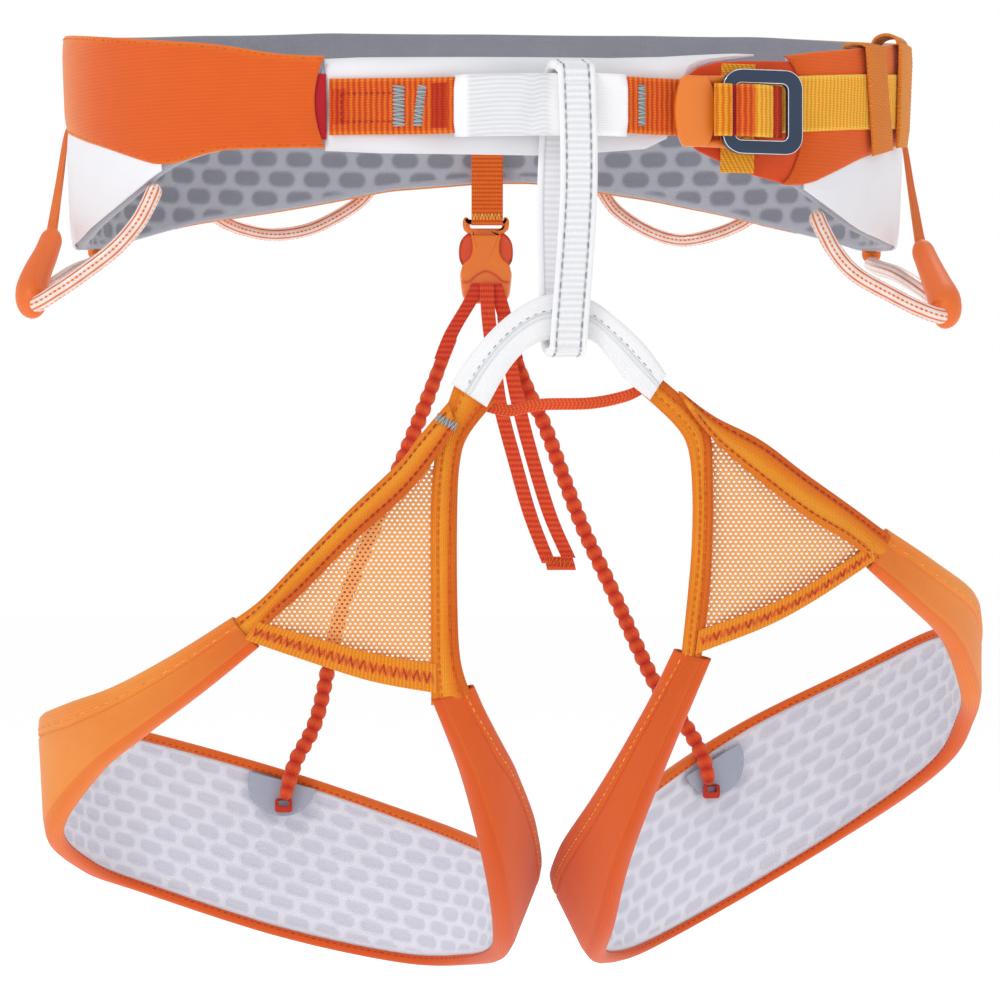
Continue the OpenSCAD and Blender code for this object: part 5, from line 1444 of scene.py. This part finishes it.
SEAM_IN = 2.6    # distance of an arm's stitch rows from its edges
for key, (outer_edge, inner_edge) in ARMS.items():
    leg, part = key.split("_")
    body = leg + "_leg_loop"
    node = "%s_leg_%s_arm" % (leg, part)
    band = facing_out(ribbon(longer(outer_edge, 5, 6), longer(inner_edge, 5, 6), 0.5, 0.35))
    share = band.v / band.width
    rolled = np.sqrt(np.clip(1 - (2 * share - 1) ** 2, 0, 1)) * (0.7 if part == "inner" else 0.35)
    line = ribs(band.v + 0.2 * np.sin(band.u * 0.3), 1.3) * ribs(band.u, 1.6)
    groove = sum(np.exp(-((d - SEAM_IN) / 0.5) ** 2) for d in (band.v, band.width - band.v))
    side_shade = np.clip(1.15 - 2.2 * np.abs(share - (0.35 if leg == "left" else 0.65)), 0, 1)
    # side_shade paints a highlight band along one side of each arm, and the grooves of the stitch rows are
    # painted darker as shade.
    tone = 0.16 + 0.5 * side_shade + 0.12 * line - 0.2 * groove + 0.08 * ripple(band.u, band.v, 1.0, 1.5)
    made = band_solid(node + "_band", band, "arm", -0.85 - 0.1 * rolled,
                      0.85 + rolled + 0.1 * line - 0.22 * groove, 0.9, tone)
    put(made, body, "leg_arm_orange", node)
    rows = Seam()
    for in_from_edge in (band.v, band.width - band.v):
        k = int(np.argmin(np.abs(in_from_edge[len(band.v) // 2] - SEAM_IN)))
        line = band.p[:, k] + band.n[:, k] * (0.95 + rolled[:, k])[:, None]
        rows.line((line[3:-3], band.n[3:-3, k]), 1.8, 0.9)
    rows.sew(node + "_stitches", 0.18, "facing" if part == "outer" else "thread_orange", body)


# The open mesh: the spacing of its holes across and up, their size as shares of that, half the net's
# thickness and how far it runs under the arms
NET_PITCH, NET_HOLE, NET_HALF, NET_UNDER = np.array([1.8, 1.35]), np.array([0.52, 0.54]), 0.2, 4.2


def depth_in(q, ring):
    """How far points lie inside a closed plane outline, negative outside it."""
    a, b = ring, np.roll(ring, -1, 0)
    ab = b - a
    t = np.clip(((q[:, None] - a) * ab).sum(-1) / np.maximum((ab ** 2).sum(-1), 1e-9), 0, 1)
    far = np.linalg.norm(q[:, None] - (a + ab * t[..., None]), axis=-1).min(1)
    cross = (a[:, 1] > q[:, None, 1]) != (b[:, 1] > q[:, None, 1])
    rise = np.where(ab[:, 1] == 0, 1e-9, ab[:, 1])
    hit = q[:, None, 0] < ab[:, 0] * (q[:, None, 1] - a[:, 1]) / rise + a[:, 0]
    return np.where((cross & hit).sum(1) % 2 == 1, far, -far)


def net(name, leg, upper, lower):
    """Open mesh: a net of cells with rounded holes, inside a panel's outline and a little under its edges."""
    surface = ribbon(upper, lower, 2.0, 2.0, 0.4)
    p = surface.p.reshape(-1, 3)
    x0, z0 = p[:, 0].mean(), p[:, 2].mean()

    def basis(x, z):
        a, b = (x - x0) / 50, (z - z0) / 50
        return np.stack([np.ones_like(a), a, b, a * a, a * b, b * b, a ** 3, b ** 3], -1)

    # The net lies on a smooth surface fitted to the panel: y from x and z
    fit = np.linalg.lstsq(basis(p[:, 0], p[:, 2]), p[:, 1], rcond=None)[0]
    ring = np.vstack([surface.p[:, 0], surface.p[-1, 1:-1], surface.p[::-1, -1], surface.p[0, 1:-1][::-1]])
    ring = ring[:, [0, 2]]
    box = ring.max(0) - ring.min(0) + 2 * NET_UNDER
    rows, cols = int(box[1] / NET_PITCH[1]) + 1, int(box[0] / NET_PITCH[0]) + 2
    j, i = np.meshgrid(np.arange(rows), np.arange(cols), indexing="ij")
    cx = ring[:, 0].min() - NET_UNDER + (i + 0.5 * (j % 2)) * NET_PITCH[0]
    cz = ring[:, 1].min() - NET_UNDER + j * NET_PITCH[1]
    centres = np.stack([cx.ravel(), cz.ravel()], 1)
    centres = centres[depth_in(centres, ring) > -NET_UNDER]
    border = np.array([(-0.5, -0.5), (0, -0.5), (0.5, -0.5), (0.5, 0), (0.5, 0.5), (0, 0.5), (-0.5, 0.5),
                       (-0.5, 0)])
    angles = np.arctan2(border[:, 1], border[:, 0])
    hole = np.stack([np.cos(angles) * NET_HOLE[0] / 2, np.sin(angles) * NET_HOLE[1] / 2], 1)
    hole = np.sign(hole) * np.minimum(np.abs(hole) * 1.12, NET_HOLE / 2)
    middle = hole * 0.45 + border * 0.55
    # Rings of a cell from its front border over the thread, through the hole and to its back border
    levels = ((border, NET_HALF * 0.75), (middle, NET_HALF), (hole, NET_HALF * 0.55), (hole * 0.97, 0.0),
              (hole, -NET_HALF * 0.55), (middle, -NET_HALF), (border, -NET_HALF * 0.75))
    parts = []
    for shape, out in levels:
        q = centres[:, None] + shape[None] * NET_PITCH
        y = basis(q[..., 0], q[..., 1]) @ fit
        parts.append(np.stack([q[..., 0], y + 1.7 - out, q[..., 1]], -1))
    n = len(centres)
    grid = closed(np.arange(n * len(levels) * 8).reshape(n, len(levels), 8))
    # The threads are painted paler over their crests and darker at the cell borders and inside the holes:
    # painted shade.
    tone = np.broadcast_to(np.array([0.35, 0.75, 0.5, 0.3, 0.5, 0.75, 0.35])[:, None], (n, len(levels), 8))
    verts = np.stack(parts, 1).reshape(-1, 3)
    # Cells share their borders: merge the points that fall together
    keys = np.round(verts / 0.02).astype(np.int64)
    _, first, back = np.unique(keys, axis=0, return_index=True, return_inverse=True)
    back = back.ravel()
    faces = [back[quads_of(grid)]]
    # Close the rim of the net, from the front face to the back one
    front, rear = (np.stack([grid[:, k, :-1].ravel(), grid[:, k, 1:].ravel()], 1) for k in (0, -1))
    _, place, times = np.unique(np.sort(back[front], 1), axis=0, return_inverse=True, return_counts=True)
    rim = times[place.ravel()] == 1
    faces.append(back[np.stack([front[rim, 1], front[rim, 0], rear[rim, 0], rear[rim, 1]], 1)])
    made = make_mesh(name, verts[first], faces, "mesh", tone.ravel()[first], verts[first])
    slope = 1.0 / math.cos(math.radians(20))    # the panel leans back by about 20 degrees
    solid = 1 - 0.78 * NET_HOLE.prod()          # share of the net that isn't hole
    area = float(n * NET_PITCH.prod() * slope * solid)
    put(made, leg + "_leg_loop", "mesh_fabric", leg + "_leg_mesh_panel")


for leg, (upper, lower) in MESH.items():
    net(leg + "_leg_open_mesh", leg, upper, lower)
for leg, (upper, lower) in ELASTIC.items():
    ends = (5, 3) if leg == "left" else (3, 5)
    band = facing_out(ribbon(longer(upper, *ends), longer(lower, *ends), 0.35, 0.35, 0.6))
    crest = ribs(band.u, 1.3)
    made = band_solid(leg + "_leg_elastic_edge", band, "arm", -0.6, 0.6 + 0.16 * crest, 0.6,
                      0.42 + 0.34 * crest)
    put(made, leg + "_leg_loop", "leg_elastic", leg + "_leg_elastic_band")
    over = band.n[:, 0] * 0.85
    a, b = (band.p[:, 4] * share + band.p[:, -5] * (1 - share) + over for share in (0.75, 0.25))
    zig = Seam().zigzag(a[3:-3], b[3:-3], 2.3, tuple(band.n[len(band.n) // 2, 0]))
    zig.sew(leg + "_leg_elastic_zigzag", 0.26, "strap_red", leg + "_leg_loop")

def arc(radius, first, last, count):
    """Points of an arc between two angles in degrees."""
    turned = np.radians(np.linspace(first, last, count))
    return np.stack([radius * np.cos(turned), radius * np.sin(turned)], 1)


# A half-round patch on the back of each pad, with the riser's hook: where the patch is, its turn round Z,
# where the hook is, how the patch leans in its own plane and how it tilts out of it, in degrees
PATCHES = (("left", (-77, 79.4, -238), 2, (-76.5, 76.2, -245.5), -15, -2),
           ("right", (86, 77.2, -230), 24, (84.8, 73.6, -240), 27, -4))
for leg, place_at, turn, hook_at, lean, tilt in PATCHES:
    body = leg + "_leg_loop"
    lean, tilt = math.radians(lean), math.radians(tilt)
    leaning = np.array([[math.cos(lean), math.sin(lean)], [-math.sin(lean), math.cos(lean)]])
    flat_place = placed(place_at[0], place_at[1], turn, place_at[2])

    def tilted(q, tilt=tilt, flat_place=flat_place):
        return flat_place(np.stack([q[..., 0], q[..., 1] * math.cos(tilt) - q[..., 2] * math.sin(tilt),
                                    q[..., 1] * math.sin(tilt) + q[..., 2] * math.cos(tilt)], -1))

    disc = even_loop(np.vstack([arc(13, 180, 360, 61), [(12.6, 0.5), (-12.6, 0.5)]]), 120)
    disc = disc @ leaning + [0, 1.2]
    made = slab(leg + "_leg_patch", disc, 0.6, 0.25, "patch", tilted, tone=0.5)
    put(made, body, "patch_grey", leg + "_leg_riser_patch")
    row = arc(12.0, 186, 354, 60) @ leaning + [0, 1.2]
    line = tilted(np.stack([row[:, 0], np.full(60, -0.62), row[:, 1]], -1))
    outward = tilted(np.array([[0.0, -1.0, 0.0]])) - tilted(np.array([[0.0, 0.0, 0.0]]))
    rows = Seam().line((line, np.broadcast_to(outward, line.shape)), 1.2, 0.7)
    rows.sew(leg + "_leg_patch_stitches", 0.12, "thread_white", body)
    ring_out = rounded(6.6, 5.4, 1.2)
    ring_in = even_loop(rounded(3.9, 2.2, 0.6) + [0, 0.7], len(ring_out))
    made = slab(leg + "_leg_hook", ring_out, 2.2, 0.5, "strap_red",
                placed(hook_at[0], hook_at[1] + 1.1, turn, hook_at[2]), align(ring_in, ring_out), 0.3)
    put(made, body, "riser_hook", leg + "_leg_riser_hook")

leg_tack = Seam().bar((-12.5, -110.05, -104), (1, 0, -0.53), (0, -1, 0), 3.0, 8.0, 0.6, 0.25)
leg_tack.sew("left_leg_bar_tack", 0.26, "thread", "left_leg_loop", "left_leg_bartack")

# ---------------------------------------------------------------- the floor
FLOOR_HALF, FLOOR_Z = 9000, -420
corners = [(x * FLOOR_HALF, y * FLOOR_HALF, FLOOR_Z) for x, y in ((-1, -1), (1, -1), (1, 1), (-1, 1))]
make_mesh("floor", corners, [np.array([[0, 1, 2, 3]])], "floor")
